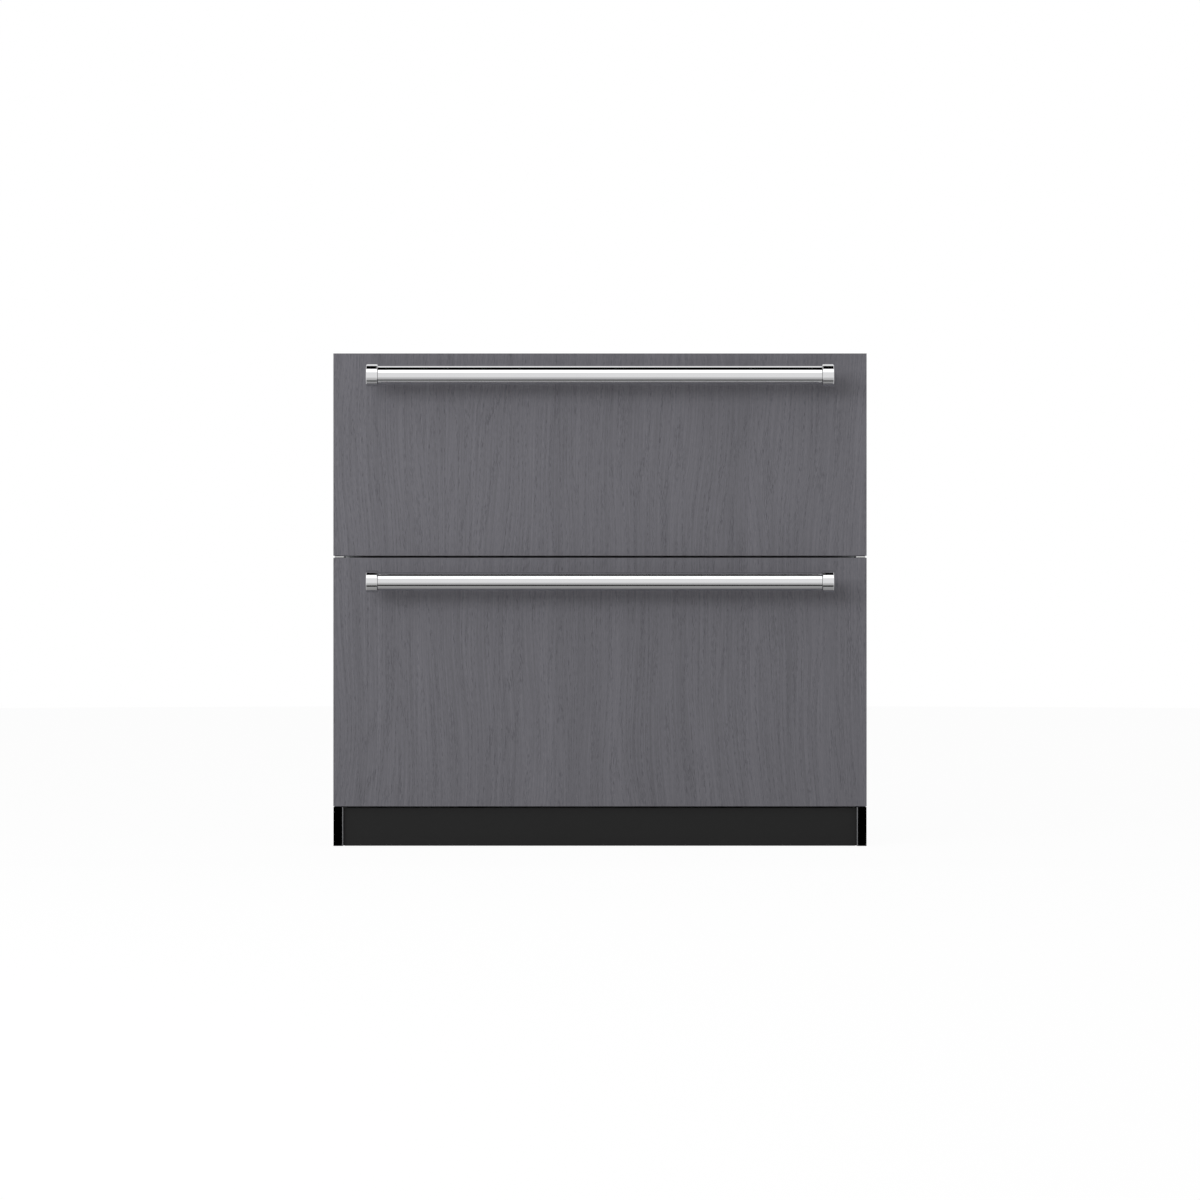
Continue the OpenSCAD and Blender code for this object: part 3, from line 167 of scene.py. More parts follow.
class Finish:
    """One procedural material and the nodes that it is built from."""

    def __init__(self, name, tone, roughness, **sockets):
        self.material = bpy.data.materials.new(name)
        self.material.use_nodes = True
        self.tree = self.material.node_tree
        self.shader = self.tree.nodes["Principled BSDF"]
        self.tone = (*tone, 1.0)
        self.roughness = roughness
        self.shader.inputs["Base Color"].default_value = self.tone
        self.shader.inputs["Roughness"].default_value = roughness
        for socket, value in sockets.items():
            self.shader.inputs[socket.replace("_", " ")].default_value = value
        self.place = self.node("ShaderNodeTexCoord").outputs["Object"]
        self.material.diffuse_color = self.tone

    def node(self, kind, inputs=None, **settings):
        made = self.tree.nodes.new(kind)
        for key, value in settings.items():
            setattr(made, key, value)
        for key, value in (inputs or {}).items():
            if isinstance(value, bpy.types.NodeSocket):
                self.tree.links.new(value, made.inputs[key])
            else:
                made.inputs[key].default_value = value
        return made

    def stretched(self, scale, place=None):
        """Object coordinates in steps of 1/scale metres along each axis."""
        mapping = self.node("ShaderNodeMapping", {"Vector": place or self.place})
        mapping.inputs["Scale"].default_value = scale
        return mapping.outputs["Vector"]

    def noise(self, scale, detail=3.0, place=None, rough=0.5):
        scale = scale if isinstance(scale, tuple) else (scale,) * 3
        made = self.node("ShaderNodeTexNoise", {
            "Vector": self.stretched(scale, place), "Scale": 1.0, "Detail": detail,
            "Roughness": rough})
        return made.outputs["Fac"]

    def cells(self, scale):
        made = self.node("ShaderNodeTexVoronoi", {
            "Vector": self.stretched((scale,) * 3), "Scale": 1.0})
        return made.outputs

    def math(self, operation, first, second=0.0):
        return self.node("ShaderNodeMath", {0: first, 1: second}, operation=operation).outputs[0]

    def span(self, value, low, high, to_low=0.0, to_high=1.0):
        made = self.node("ShaderNodeMapRange", {
            "Value": value, "From Min": low, "From Max": high, "To Min": to_low,
            "To Max": to_high})
        return made.outputs["Result"]

    def mix(self, factor, first, second):
        made = self.node("ShaderNodeMix", {"Factor": factor}, data_type="RGBA")
        for socket, value in ((made.inputs[6], first), (made.inputs[7], second)):
            if isinstance(value, bpy.types.NodeSocket):
                self.tree.links.new(value, socket)
            else:
                socket.default_value = value
        return made.outputs[2]

    def shade(self, amount):
        """The tone made lighter or darker."""
        return tuple(min(1.0, c * amount) for c in self.tone[:3]) + (1.0,)

    def paint(self, result):
        self.tree.links.new(result, self.shader.inputs["Base Color"])

    def gloss(self, result):
        self.tree.links.new(result, self.shader.inputs["Roughness"])

    def relief(self, height, depth, before=None):
        """Bump of the given depth in metres, on top of an earlier one."""
        made = self.node("ShaderNodeBump", {"Height": height, "Distance": depth, "Strength": 1.0})
        if before:
            self.tree.links.new(before, made.inputs["Normal"])
        self.tree.links.new(made.outputs["Normal"], self.shader.inputs["Normal"])
        return made.outputs["Normal"]

    def cloud(self, scale, amount):
        """Slow drift of the tone and the roughness over the surface."""
        drift = self.noise(scale, 4.0)
        self.paint(self.mix(self.span(drift, 0.3, 0.7), self.shade(1 - amount),
                            self.shade(1 + amount)))
        self.gloss(self.span(drift, 0.3, 0.7, self.roughness * 0.85,
                             min(1.0, self.roughness * 1.2)))
        return drift


def stained_oak(name, colours, sizes):
    """Open-pored oak with upright grain. On the top and bottom edges the grain runs across."""
    oak = Finish(name, colours.oak, 0.52, Specular_IOR_Level=0.2, Coat_Weight=0.12,
                 Coat_Roughness=0.3)
    pore = (*colours.oak_pore, 1.0)
    split = oak.node("ShaderNodeSeparateXYZ", {"Vector": oak.place}).outputs
    turned = oak.node("ShaderNodeCombineXYZ", {"X": split["Y"], "Y": split["Z"], "Z": split["X"]})
    normal = oak.node("ShaderNodeTexCoord").outputs["Normal"]
    up = oak.node("ShaderNodeSeparateXYZ", {"Vector": normal}).outputs["Z"]
    is_edge = oak.math("GREATER_THAN", oak.math("ABSOLUTE", up), 0.7)
    pick = oak.node("ShaderNodeMix", {"Factor": is_edge}, data_type="VECTOR")
    oak.tree.links.new(oak.place, pick.inputs[4])
    oak.tree.links.new(turned.outputs[0], pick.inputs[5])
    grain = pick.outputs[1]

    # The heart's arches: rings round upright centre lines, stretched along the grain
    sway = oak.noise((3.0, 3.0, 1.1), 2.0, grain)
    sideways = oak.node("ShaderNodeCombineXYZ", {"X": oak.span(sway, 0.0, 1.0, -0.07, 0.07)})
    bent = oak.node("ShaderNodeVectorMath", {0: grain, 1: sideways.outputs[0]}, operation="ADD")
    bent = bent.outputs[0]
    ring_count = 130.0
    growth = oak.noise((16.0, 16.0, 0.9), 2.0, bent, 0.4)
    rings = oak.math("SINE", oak.math("MULTIPLY", growth, ring_count))
    early = oak.span(rings, 0.0, 0.9)

    # Pores: short dark grooves, most of them in the early wood
    pitch = 1.0 / sizes.pore_width
    run = 1.0 / sizes.pore_length
    flecks = oak.noise((pitch, pitch, run), 1.0, bent, 0.5)
    open_pore = oak.span(flecks, 0.52, 0.60)
    crowded = oak.math("MULTIPLY", open_pore, oak.span(early, 0.0, 1.0, 0.4, 1.0))

    # Long straight fibres in fine streaks and in broad bands
    fibre = oak.noise((pitch * 0.2, pitch * 0.2, run * 0.05), 2.0, bent, 0.6)
    band = oak.noise((28.0, 28.0, 1.2), 2.0, bent)
    streak = oak.math("ADD", oak.span(fibre, 0.3, 0.7, 0.0, 0.65),
                      oak.span(band, 0.3, 0.7, 0.0, 0.35))
    body = oak.mix(streak, oak.shade(0.83), oak.shade(1.17))
    oak.paint(oak.mix(oak.math("MULTIPLY", crowded, 0.6), body, pore))
    oak.gloss(oak.span(crowded, 0.0, 1.0, 0.46, 0.72))
    first = oak.relief(oak.span(fibre, 0.0, 1.0), 0.04 * MM)
    oak.relief(oak.math("SUBTRACT", 1.0, crowded), 0.06 * MM, first)
    return oak.material


def polished_steel(name, colours):
    """Mirror-polished steel with hairlines round the bar."""
    steel = Finish(name, colours.steel, 0.07, Metallic=1.0)
    hairline = steel.noise((2600.0, 90.0, 90.0), 2.0)
    smear = steel.noise(14.0, 3.0)
    steel.gloss(steel.math("ADD", steel.span(hairline, 0.35, 0.7, 0.035, 0.06),
                           steel.span(smear, 0.3, 0.7, 0.0, 0.02)))
    steel.paint(steel.mix(smear, steel.shade(0.97), steel.shade(1.02)))
    steel.relief(hairline, 0.002 * MM)
    return steel.material


def painted_sheet(name, tone, roughness=0.42, specular=0.5):
    """Paint on steel, with orange peel and a little dust."""
    paint = Finish(name, tone, roughness, Specular_IOR_Level=specular)
    paint.cloud(5.0, 0.05)
    paint.relief(paint.noise(420.0, 2.0), 0.03 * MM)
    return paint.material


def galvanised(name, colours):
    """Zinc with its crystals."""
    zinc = Finish(name, colours.zinc, 0.42, Metallic=1.0)
    crystals = zinc.cells(95.0)
    flake = zinc.node("ShaderNodeSeparateColor", {"Color": crystals["Color"]}).outputs["Red"]
    drift = zinc.noise(9.0, 4.0)
    zinc.paint(zinc.mix(zinc.math("MULTIPLY", flake, drift), zinc.shade(0.86), zinc.shade(1.12)))
    zinc.gloss(zinc.span(flake, 0.0, 1.0, 0.34, 0.52))
    zinc.relief(zinc.noise(700.0, 2.0), 0.01 * MM)
    return zinc.material


def rolled_steel(name, tone, along=1):
    """Zinc-plated rolled steel with lines along one axis."""
    steel = Finish(name, tone, 0.3, Metallic=1.0)
    scale = tuple(12.0 if axis == along else 900.0 for axis in range(3))
    lines = steel.noise(scale, 3.0)
    steel.paint(steel.mix(lines, steel.shade(0.85), steel.shade(1.1)))
    steel.gloss(steel.span(lines, 0.3, 0.7, 0.22, 0.4))
    steel.relief(lines, 0.01 * MM)
    return steel.material


def moulded(name, tone, roughness, grain=0.01 * MM, scale=900.0):
    """Injection-moulded or vacuum-formed plastic."""
    plastic = Finish(name, tone, roughness)
    plastic.cloud(7.0, 0.025)
    plastic.relief(plastic.noise(scale, 3.0), grain)
    return plastic.material


def soft_rubber(name, tone):
    """Dull rubber with dust."""
    rubber = Finish(name, tone, 0.75)
    dust = rubber.cloud(60.0, 0.18)
    rubber.relief(dust, 0.08 * MM)
    return rubber.material


def clear_acrylic(name, colours):
    """Clear sheet, a little green where it is looked at edge on."""
    sheet = Finish(name, colours.acrylic, 0.04, Transmission_Weight=1.0, IOR=1.49)
    sheet.gloss(sheet.span(sheet.noise(30.0, 4.0), 0.4, 0.7, 0.02, 0.08))
    sheet.relief(sheet.noise(220.0, 2.0), 0.004 * MM)
    return sheet.material


def black_glass(name, colours):
    """Dark glass with a few finger marks."""
    glass = Finish(name, colours.glass, 0.05, Coat_Weight=0.5, Coat_Roughness=0.03)
    glass.gloss(glass.span(glass.noise(40.0, 4.0), 0.4, 0.7, 0.04, 0.10))
    return glass.material


def cut_foam(name, colours):
    """Foam with open cells."""
    foam = Finish(name, colours.foam, 0.9)
    foam.cloud(12.0, 0.12)
    foam.relief(foam.cells(380.0)["Distance"], 0.6 * MM)
    return foam.material


def drawn_copper(name, colours):
    """Copper with brown tarnish."""
    tarnished = (0.33, 0.16, 0.09, 1.0)
    tube = Finish(name, colours.copper, 0.28, Metallic=1.0)
    tarnish = tube.noise(26.0, 5.0)
    tube.paint(tube.mix(tube.span(tarnish, 0.45, 0.75), tube.tone, tarnished))
    tube.gloss(tube.span(tarnish, 0.4, 0.7, 0.2, 0.42))
    tube.relief(tube.noise(300.0, 2.0), 0.01 * MM)
    return tube.material


def bare_metal(name, tone, roughness):
    """Aluminium fins and strips, with fine scratches and handling marks."""
    metal = Finish(name, tone, roughness, Metallic=1.0)
    scratches = metal.noise((60.0, 800.0, 800.0), 3.0)
    metal.paint(metal.mix(metal.noise(8.0, 4.0), metal.shade(0.9), metal.shade(1.08)))
    metal.gloss(metal.span(scratches, 0.3, 0.7, roughness * 0.8, roughness * 1.25))
    metal.relief(scratches, 0.008 * MM)
    return metal.material


def milky_diffuser(name, colours):
    """Ribbed plastic that glows a little."""
    cool = (0.9, 0.95, 1.0, 1.0)
    lens = Finish(name, colours.diffuser, 0.35, Subsurface_Weight=0.3, Emission_Strength=0.35)
    ribs = lens.noise((500.0, 20.0, 20.0), 1.0)
    lens.relief(ribs, 0.1 * MM)
    lens.tree.links.new(lens.mix(ribs, cool, WHITE), lens.shader.inputs["Emission Color"])
    return lens.material


# ---- shared mesh code ----------------------------------------------------------

def settings():
    scene = bpy.context.scene
    return scene.fridge_colours, scene.fridge_sizes, scene.fridge_studio


def dress(node, material, edge=0.0, segments=2, planar=False):
    """Gives a CAD node its material, and softens its edges."""
    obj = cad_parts[node]
    if not obj.material_slots:
        obj.data.materials.append(material)
    for material_slot in obj.material_slots:
        material_slot.material = material
    if edge:
        soften(obj, edge, segments, planar)
    return obj


def soften(obj, edge, segments=2, planar=False):
    """Rounds the sharp edges. Wide flat faces with small holes are joined first."""
    weld = obj.modifiers.new("Weld", "WELD")
    weld.merge_threshold = 0.01 * MM
    if planar:
        joined = obj.modifiers.new("Planar", "DECIMATE")
        joined.decimate_type = "DISSOLVE"
        joined.angle_limit = math.radians(0.5)
    bevel = obj.modifiers.new("Bevel", "BEVEL")
    bevel.width = edge
    bevel.segments = segments
    bevel.limit_method = "ANGLE"
    bevel.angle_limit = math.radians(50)
    bevel.use_clamp_overlap = True
    flat = obj.modifiers.new("Weighted Normal", "WEIGHTED_NORMAL")
    flat.weight = 100


def piece(name, bm, body, material):
    """Turns a bmesh into a piece that rides on a body."""
    bmesh.ops.recalc_face_normals(bm, faces=bm.faces)
    mesh = bpy.data.meshes.new(name)
    bm.to_mesh(mesh)
    bm.free()
    for face in mesh.polygons:
        face.use_smooth = True
    mesh.set_sharp_from_angle(angle=math.radians(35))
    mesh.materials.append(material)
    obj = bpy.data.objects.new(name, mesh)
    bpy.context.scene.collection.objects.link(obj)
    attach(obj, body)
    return obj


def lathe(bm, profile, centre, axis, steps=32):
    """Turns a profile of (radius, height) pairs round an axis.

    A third value makes that ring a polygon with so many sides. A profile that starts on the
    axis ends on it too, and any other is joined into a loop.
    """
    turn = Vector(UP).rotation_difference(Vector(axis)).to_matrix().to_4x4()
    place = Matrix.Translation(centre) @ turn
    rings = []
    for radius, height, *sides in profile:
        if radius < 1e-7:
            rings.append([bm.verts.new(place @ Vector((0, 0, height)))])
            continue
        ring = []
        for k in range(steps):
            a = 2 * math.pi * k / steps
            r = radius
            if sides:
                half = math.pi / sides[0]
                r *= math.cos(half) / math.cos(a % (2 * half) - half)
            ring.append(bm.verts.new(place @ Vector((r * math.cos(a), r * math.sin(a), height))))
        rings.append(ring)
    if len(rings[0]) > 1:
        rings.append(rings[0])
    for one, two in zip(rings, rings[1:]):
        for k in range(steps):
            corners = [one[k % len(one)], one[(k + 1) % len(one)],
                       two[(k + 1) % len(two)], two[k % len(two)]]
            unique = list(dict.fromkeys(corners))
            if len(unique) > 2:
                bm.faces.new(unique)


# ---- pieces --------------------------------------------------------------------

class FRIDGE_OT_oak_fronts(bpy.types.Operator):
    """Stain the oak panels, soften their edges and add the rubber seals behind them"""
    bl_idname = "fridge.oak_fronts"
    bl_label = "Oak fronts"

    def execute(self, context):
        colours, sizes, _ = settings()
        oak = stained_oak("stained oak", colours, sizes)
        rubber = soft_rubber("edge seal rubber", colours.edge_seal)
        for drawer in DRAWERS:
            dress(drawer + "_front_panel", oak, sizes.board_edge, 3, planar=True)
            self.edge_seals(drawer, sizes.seal_reach, rubber)
        return {"FINISHED"}

    def edge_seals(self, drawer, reach, rubber):
        """Two ribbed strips behind the panel's overhang, which narrow the gap's open ends."""
        low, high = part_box(drawer + "_front_panel")
        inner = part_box(drawer + "_door_shell")[1].x + 0.3 * MM
        outer = high.x - 1 * MM
        free_end = 4 * MM
        ribs, base, rib = 5, 0.7 * MM, 1.6 * MM
        if drawer == "lower":
            bottom, top, edge, middle = low.z + free_end, high.z + reach, high.z, reach / 2
        else:
            bottom, top, edge, middle = low.z - reach, high.z - free_end, low.z, -reach / 2
        bm = bmesh.new()
        for side in SIDES:
            profile = []
            step = (outer - inner) / ribs
            for k in range(ribs):
                x = inner + step * k
                profile += [(x, base), (x + step / 4, rib), (x + step * 3 / 4, rib)]
            profile += [(outer, base), (outer, 0.0), (inner, 0.0)]
            ends = [[bm.verts.new((side * x, high.y + y, z)) for x, y in profile]
                    for z in (bottom, top)]
            for i in range(len(profile)):
                j = (i + 1) % len(profile)
                bm.faces.new((ends[0][i], ends[0][j], ends[1][j], ends[1][i]))
            bm.faces.new(ends[0])
            bm.faces.new(ends[1])
            # the strip's foot turns inward, along the edge of the door's tray
            foot = Vector((8 * MM, 1.4 * MM, reach))
            centre = Vector((side * (inner - 3.5 * MM), high.y + foot.y / 2, edge + middle))
            for corner in bmesh.ops.create_cube(bm, size=1.0)["verts"]:
                corner.co = centre + Vector(c * d for c, d in zip(corner.co, foot))
        piece(drawer + "_edge_seals", bm, drawer + "_drawer", rubber)


class FRIDGE_OT_handles(bpy.types.Operator):
    """Polish the handles, add dark rings of painted shade where their end caps meet the bars, and
    add the end caps' grub screws
    """
    bl_idname = "fridge.handles"
    bl_label = "Handles"

    def execute(self, context):
        colours, sizes, _ = settings()
        steel = polished_steel("polished steel", colours)
        # this dark material also serves the rings of painted shade beside the end caps
        dark = painted_sheet("blackened steel and painted shade", colours.grub, 0.35)
        for drawer in DRAWERS:
            dress(drawer + "_handle_bar", steel)
            dress(drawer + "_handle_posts", steel)
            low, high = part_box(drawer + "_handle_bar")
            posts_low, posts_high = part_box(drawer + "_handle_posts")
            self.painted_shade_rings(drawer, low, high, sizes.shade_ring_width, dark)
            seat = Vector(((high.x + posts_high.x) / 2, (low.y + high.y) / 2, posts_low.z))
            self.grub_screws(drawer, seat, sizes.grub_diameter / 2, dark)
        return {"FINISHED"}

    def grub_screws(self, drawer, seat, radius, dark):
        """A cup with a six-sided socket, level with the underside of each end cap."""
        rim, length, socket = 0.15 * MM, 3 * MM, 2 * MM
        bm = bmesh.new()
        for side in SIDES:
            place = Vector((side * seat.x, seat.y, seat.z - rim))
            lathe(bm, [(0, length), (radius, length), (radius, rim * 2), (radius * 0.85, rim),
                       (radius * 0.55, rim, 6), (radius * 0.55, socket, 6), (0, socket)],
                  place, UP, 24)
        piece(drawer + "_grub_screws", bm, drawer + "_drawer", dark)

    def painted_shade_rings(self, drawer, low, high, width, dark):
        """A thin dark ring where each end cap meets the bar: painted shade, standing in for the
        shadow in the joint and the dark reflection in the cap's bevel.
        """
        radius = (high.z - low.z) / 2
        inner, outer = radius - 0.3 * MM, radius + 0.15 * MM
        middle = (low + high) / 2
        bm = bmesh.new()
        for side in SIDES:
            end = Vector((side * (high.x - low.x) / 2, middle.y, middle.z))
            lathe(bm, [(inner, 0), (outer, 0), (outer, width), (inner, width)], end,
                  (-side, 0, 0), 64)
        piece(drawer + "_painted_shade_rings", bm, drawer + "_drawer", dark)


class FRIDGE_OT_doors(bpy.types.Operator):
    """Paint the door trays, and fit the bellows gaskets"""
    bl_idname = "fridge.doors"
    bl_label = "Doors and gaskets"

    def execute(self, context):
        colours, sizes, _ = settings()
        sheet = painted_sheet("door paint", colours.door)
        liner = moulded("door liner plastic", colours.liner, 0.28)
        foam = cut_foam("door foam", colours)
        rubber = soft_rubber("gasket rubber", colours.rubber)
        for drawer in DRAWERS:
            dress(drawer + "_door_shell", sheet, sizes.sheet_edge)
            dress(drawer + "_door_liner", liner, sizes.plastic_edge)
            dress(drawer + "_door_foam", foam)
            self.gasket(drawer, sizes.gasket_width, rubber)
        return {"FINISHED"}

    def gasket(self, drawer, width, rubber):
        """A mitred ring of bellows: a flat base, two folds and the pocket of the magnet."""
        low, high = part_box(drawer + "_gasket")
        depth = high.y - low.y
        # shares of the ring's width and depth
        outline = ((0.04, 0.0), (0.96, 0.0), (0.96, 0.12), (0.80, 0.18), (0.90, 0.30),
                   (0.80, 0.42), (0.90, 0.54), (0.86, 0.62), (0.86, 0.94), (0.80, 1.0),
                   (0.20, 1.0), (0.14, 0.94), (0.14, 0.62), (0.10, 0.54), (0.20, 0.42),
                   (0.10, 0.30), (0.20, 0.18), (0.04, 0.12))
        bm = bmesh.new()
        loops = []
        for sx, sz in ((-1, -1), (1, -1), (1, 1), (-1, 1)):
            loop = []
            for across, out in outline:
                inset = (1 - across) * width
                x = high.x - inset if sx > 0 else low.x + inset
                z = high.z - inset if sz > 0 else low.z + inset
                loop.append(bm.verts.new((x, low.y + out * depth, z)))
            loops.append(loop)
        for one, two in zip(loops, loops[1:] + loops[:1]):
            for i in range(len(outline)):
                j = (i + 1) % len(outline)
                bm.faces.new((one[i], one[j], two[j], two[i]))
        ring = piece(drawer + "_bellows_gasket", bm, drawer + "_drawer", rubber)
        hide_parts(drawer + "_gasket")


class FRIDGE_OT_cabinet(bpy.types.Operator):
    """Paint the cabinet's sheets, finish the back, the base and the ears, and add the screws"""
    bl_idname = "fridge.cabinet"
    bl_label = "Cabinet"

    def execute(self, context):
        colours, sizes, _ = settings()
        sheet = painted_sheet("cabinet paint", colours.sheet, 0.45)
        frame_paint = painted_sheet("front frame paint", colours.door, 0.4)
        zinc = galvanised("galvanised sheet", colours)
        dress("cabinet_shell", sheet, sizes.sheet_edge)
        dress("front_frame", frame_paint, sizes.sheet_edge / 2)
        for node in ("base_pan", "back_panel", "machine_bulkhead", "kick_brackets", "fixing_ears"):
            dress(node, zinc, sizes.sheet_edge / 2)
        dress("insulation_foam", cut_foam("cabinet foam", colours))
        self.screws(sizes.screw_diameter / 2, rolled_steel("screw steel", colours.screw))
        return {"FINISHED"}

    def screws(self, radius, steel):
        """Button-head screws along the outer sheet's rear edges, and in the fixing ears' legs."""
        up_the_side = (0.04, 0.32, 0.64, 0.96)
        from_the_middle = (0.3, 0.86)
        low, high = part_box("cabinet_shell")
        ear_low, ear_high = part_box("fixing_ears")
        rear_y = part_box("back_panel")[1].y - 12 * MM
        leg_x, leg_y = high.x + 2 * MM, ear_high.y - 13 * MM
        half_ear, half_pitch = 30 * MM, 16 * MM
        bm = bmesh.new()
        for side in SIDES:
            for share in up_the_side:
                z = low.z + (high.z - low.z) * share
                self.screw(bm, (side * high.x, rear_y, z), (side, 0, 0), radius)
            for share in from_the_middle:
                self.screw(bm, (side * high.x * share, rear_y, high.z), UP, radius)
            for middle in (ear_low.z + half_ear, ear_high.z - half_ear):
                for z in (middle - half_pitch, middle + half_pitch):
                    self.screw(bm, (side * leg_x, leg_y, z), (side, 0, 0), radius)
        piece("cabinet_screws", bm, "cabinet", steel)

    def screw(self, bm, place, axis, r):
        """A rounded head with a six-sided socket, on a short shank."""
        shank = 1 * MM
        lathe(bm, [(0, -shank), (r, -shank), (r, r * 0.15), (r * 0.93, r * 0.32),
                   (r * 0.78, r * 0.45), (r * 0.56, r * 0.5), (r * 0.42, r * 0.5, 6),
                   (r * 0.42, r * 0.1, 6), (0, r * 0.1)], Vector(place), axis, 24)


class FRIDGE_OT_liners(bpy.types.Operator):
    """Finish the white liners, the evaporator's cover, the controls and the lights"""
    bl_idname = "fridge.liners"
    bl_label = "Liners, controls and lights"

    def execute(self, context):
        colours, sizes, _ = settings()
        white = moulded("liner plastic", colours.liner, 0.25)
        for node in ("upper_liner", "lower_liner", "evaporator_cover"):
            dress(node, white, sizes.plastic_edge / 2)
        controls = moulded("control plastic", colours.black_plastic, 0.45)
        dress("control_panel", controls, edge=0.6 * MM)
        dress("control_glass", black_glass("control glass", colours), edge=0.3 * MM)
        dress("led_lights", milky_diffuser("light diffuser", colours), edge=0.8 * MM)
        self.touch_marks(moulded("touch mark print", colours.touch, 0.5))
        return {"FINISHED"}

    def touch_marks(self, mark):
        """A row of plain round touch fields, printed as thin rings in the glass' face."""
        fields = 5
        low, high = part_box("control_glass")
        outer = (high.z - low.z) * 0.26
        inner = outer - 0.5 * MM
        deep = 0.2 * MM
        bm = bmesh.new()
        for k in range(fields):
            x = (k - (fields - 1) / 2) * (high.x - low.x) / (fields + 1)
            centre = Vector((x, low.y, (low.z + high.z) / 2))
            lathe(bm, [(inner, deep), (inner, 0), (outer, 0), (outer, deep)], centre,
                  (0, 1, 0), 40)
        piece("touch_marks", bm, "cabinet", mark)


class FRIDGE_OT_tubs(bpy.types.Operator):
    """Finish the tubs and their clear dividers"""
    bl_idname = "fridge.tubs"
    bl_label = "Tubs and dividers"

    def execute(self, context):
        colours, sizes, _ = settings()
        plastic = moulded("tub plastic", colours.tub, 0.22, grain=0.02 * MM, scale=500.0)
        acrylic = clear_acrylic("divider acrylic", colours)
        for drawer in DRAWERS:
            dress(drawer + "_tub", plastic, sizes.plastic_edge)
            dress(drawer + "_divider", acrylic, edge=0.5 * MM)
        return {"FINISHED"}


class FRIDGE_OT_slides(bpy.types.Operator):
    """Finish the slides, the ball cages, the arms and the soft-close units"""
    bl_idname = "fridge.slides"
    bl_label = "Slides"

    def execute(self, context):
        colours, _, _ = settings()
        steel = rolled_steel("rail steel", colours.rail)
        cage = rolled_steel("cage brass", colours.cage)
        black = moulded("soft-close plastic", colours.black_plastic, 0.5)
        dress("fixed_rails", steel, edge=0.3 * MM)
        dress("soft_close_units", black, edge=0.5 * MM)
        for drawer in DRAWERS:
            dress(drawer + "_arms", steel, edge=0.3 * MM)
            dress(drawer + "_mid_rails", steel, edge=0.3 * MM)
            dress(drawer + "_outer_balls", cage)
            dress(drawer + "_inner_balls", cage)
        return {"FINISHED"}


class FRIDGE_OT_cooling(bpy.types.Operator):
    """Finish the compressor, the coils, the fans, the lines and the rear grille"""
    bl_idname = "fridge.cooling"
    bl_label = "Cooling"

    def execute(self, context):
        colours, _, _ = settings()
        black = moulded("fan frame plastic", colours.black_plastic, 0.5)
        white = moulded("fan blade plastic", colours.fan, 0.4)
        drain = moulded("drain plastic", colours.drain, 0.5)
        gland = moulded("gland plastic", colours.black_plastic, 0.45)
        dress("machine_cover", galvanised("grille sheet", colours), edge=0.25 * MM)
        dress("compressor", painted_sheet("compressor paint", colours.compressor, 0.3),
              edge=0.6 * MM)
        dress("condenser", painted_sheet("condenser paint", colours.condenser, 0.5))
        dress("evaporator_coil", bare_metal("coil aluminium", colours.coil, 0.35))
        dress("refrigerant_lines", drawn_copper("copper tube", colours))
        dress("condensate_drain", drain, edge=0.4 * MM)
        dress("cord_gland", gland, edge=0.5 * MM)
        for node in ("evaporator_fan", "condenser_fan"):
            dress(node + "_housing", black, edge=0.4 * MM)
            dress(node, white, edge=0.3 * MM)
        return {"FINISHED"}


class FRIDGE_OT_plinth(bpy.types.Operator):
    """Paint the kick plate and the returns, and finish the bright strips"""
    bl_idname = "fridge.plinth"
    bl_label = "Plinth"

    def execute(self, context):
        colours, _, _ = settings()
        kick = painted_sheet("kick plate paint", colours.kick, 0.5, specular=0.15)
        black = painted_sheet("plinth paint", colours.plinth, 0.7, specular=0.0)
        # the strips' tone is partly aluminium and partly a painted highlight of the kick plate's
        # edges
        trim = bare_metal("trim aluminium and painted highlight", colours.trim, 0.3)
        dress("kick_plate", kick, edge=0.4 * MM)
        dress("kick_returns", black, edge=0.5 * MM)
        dress("kick_trim_strips", trim, edge=0.2 * MM)
        return {"FINISHED"}


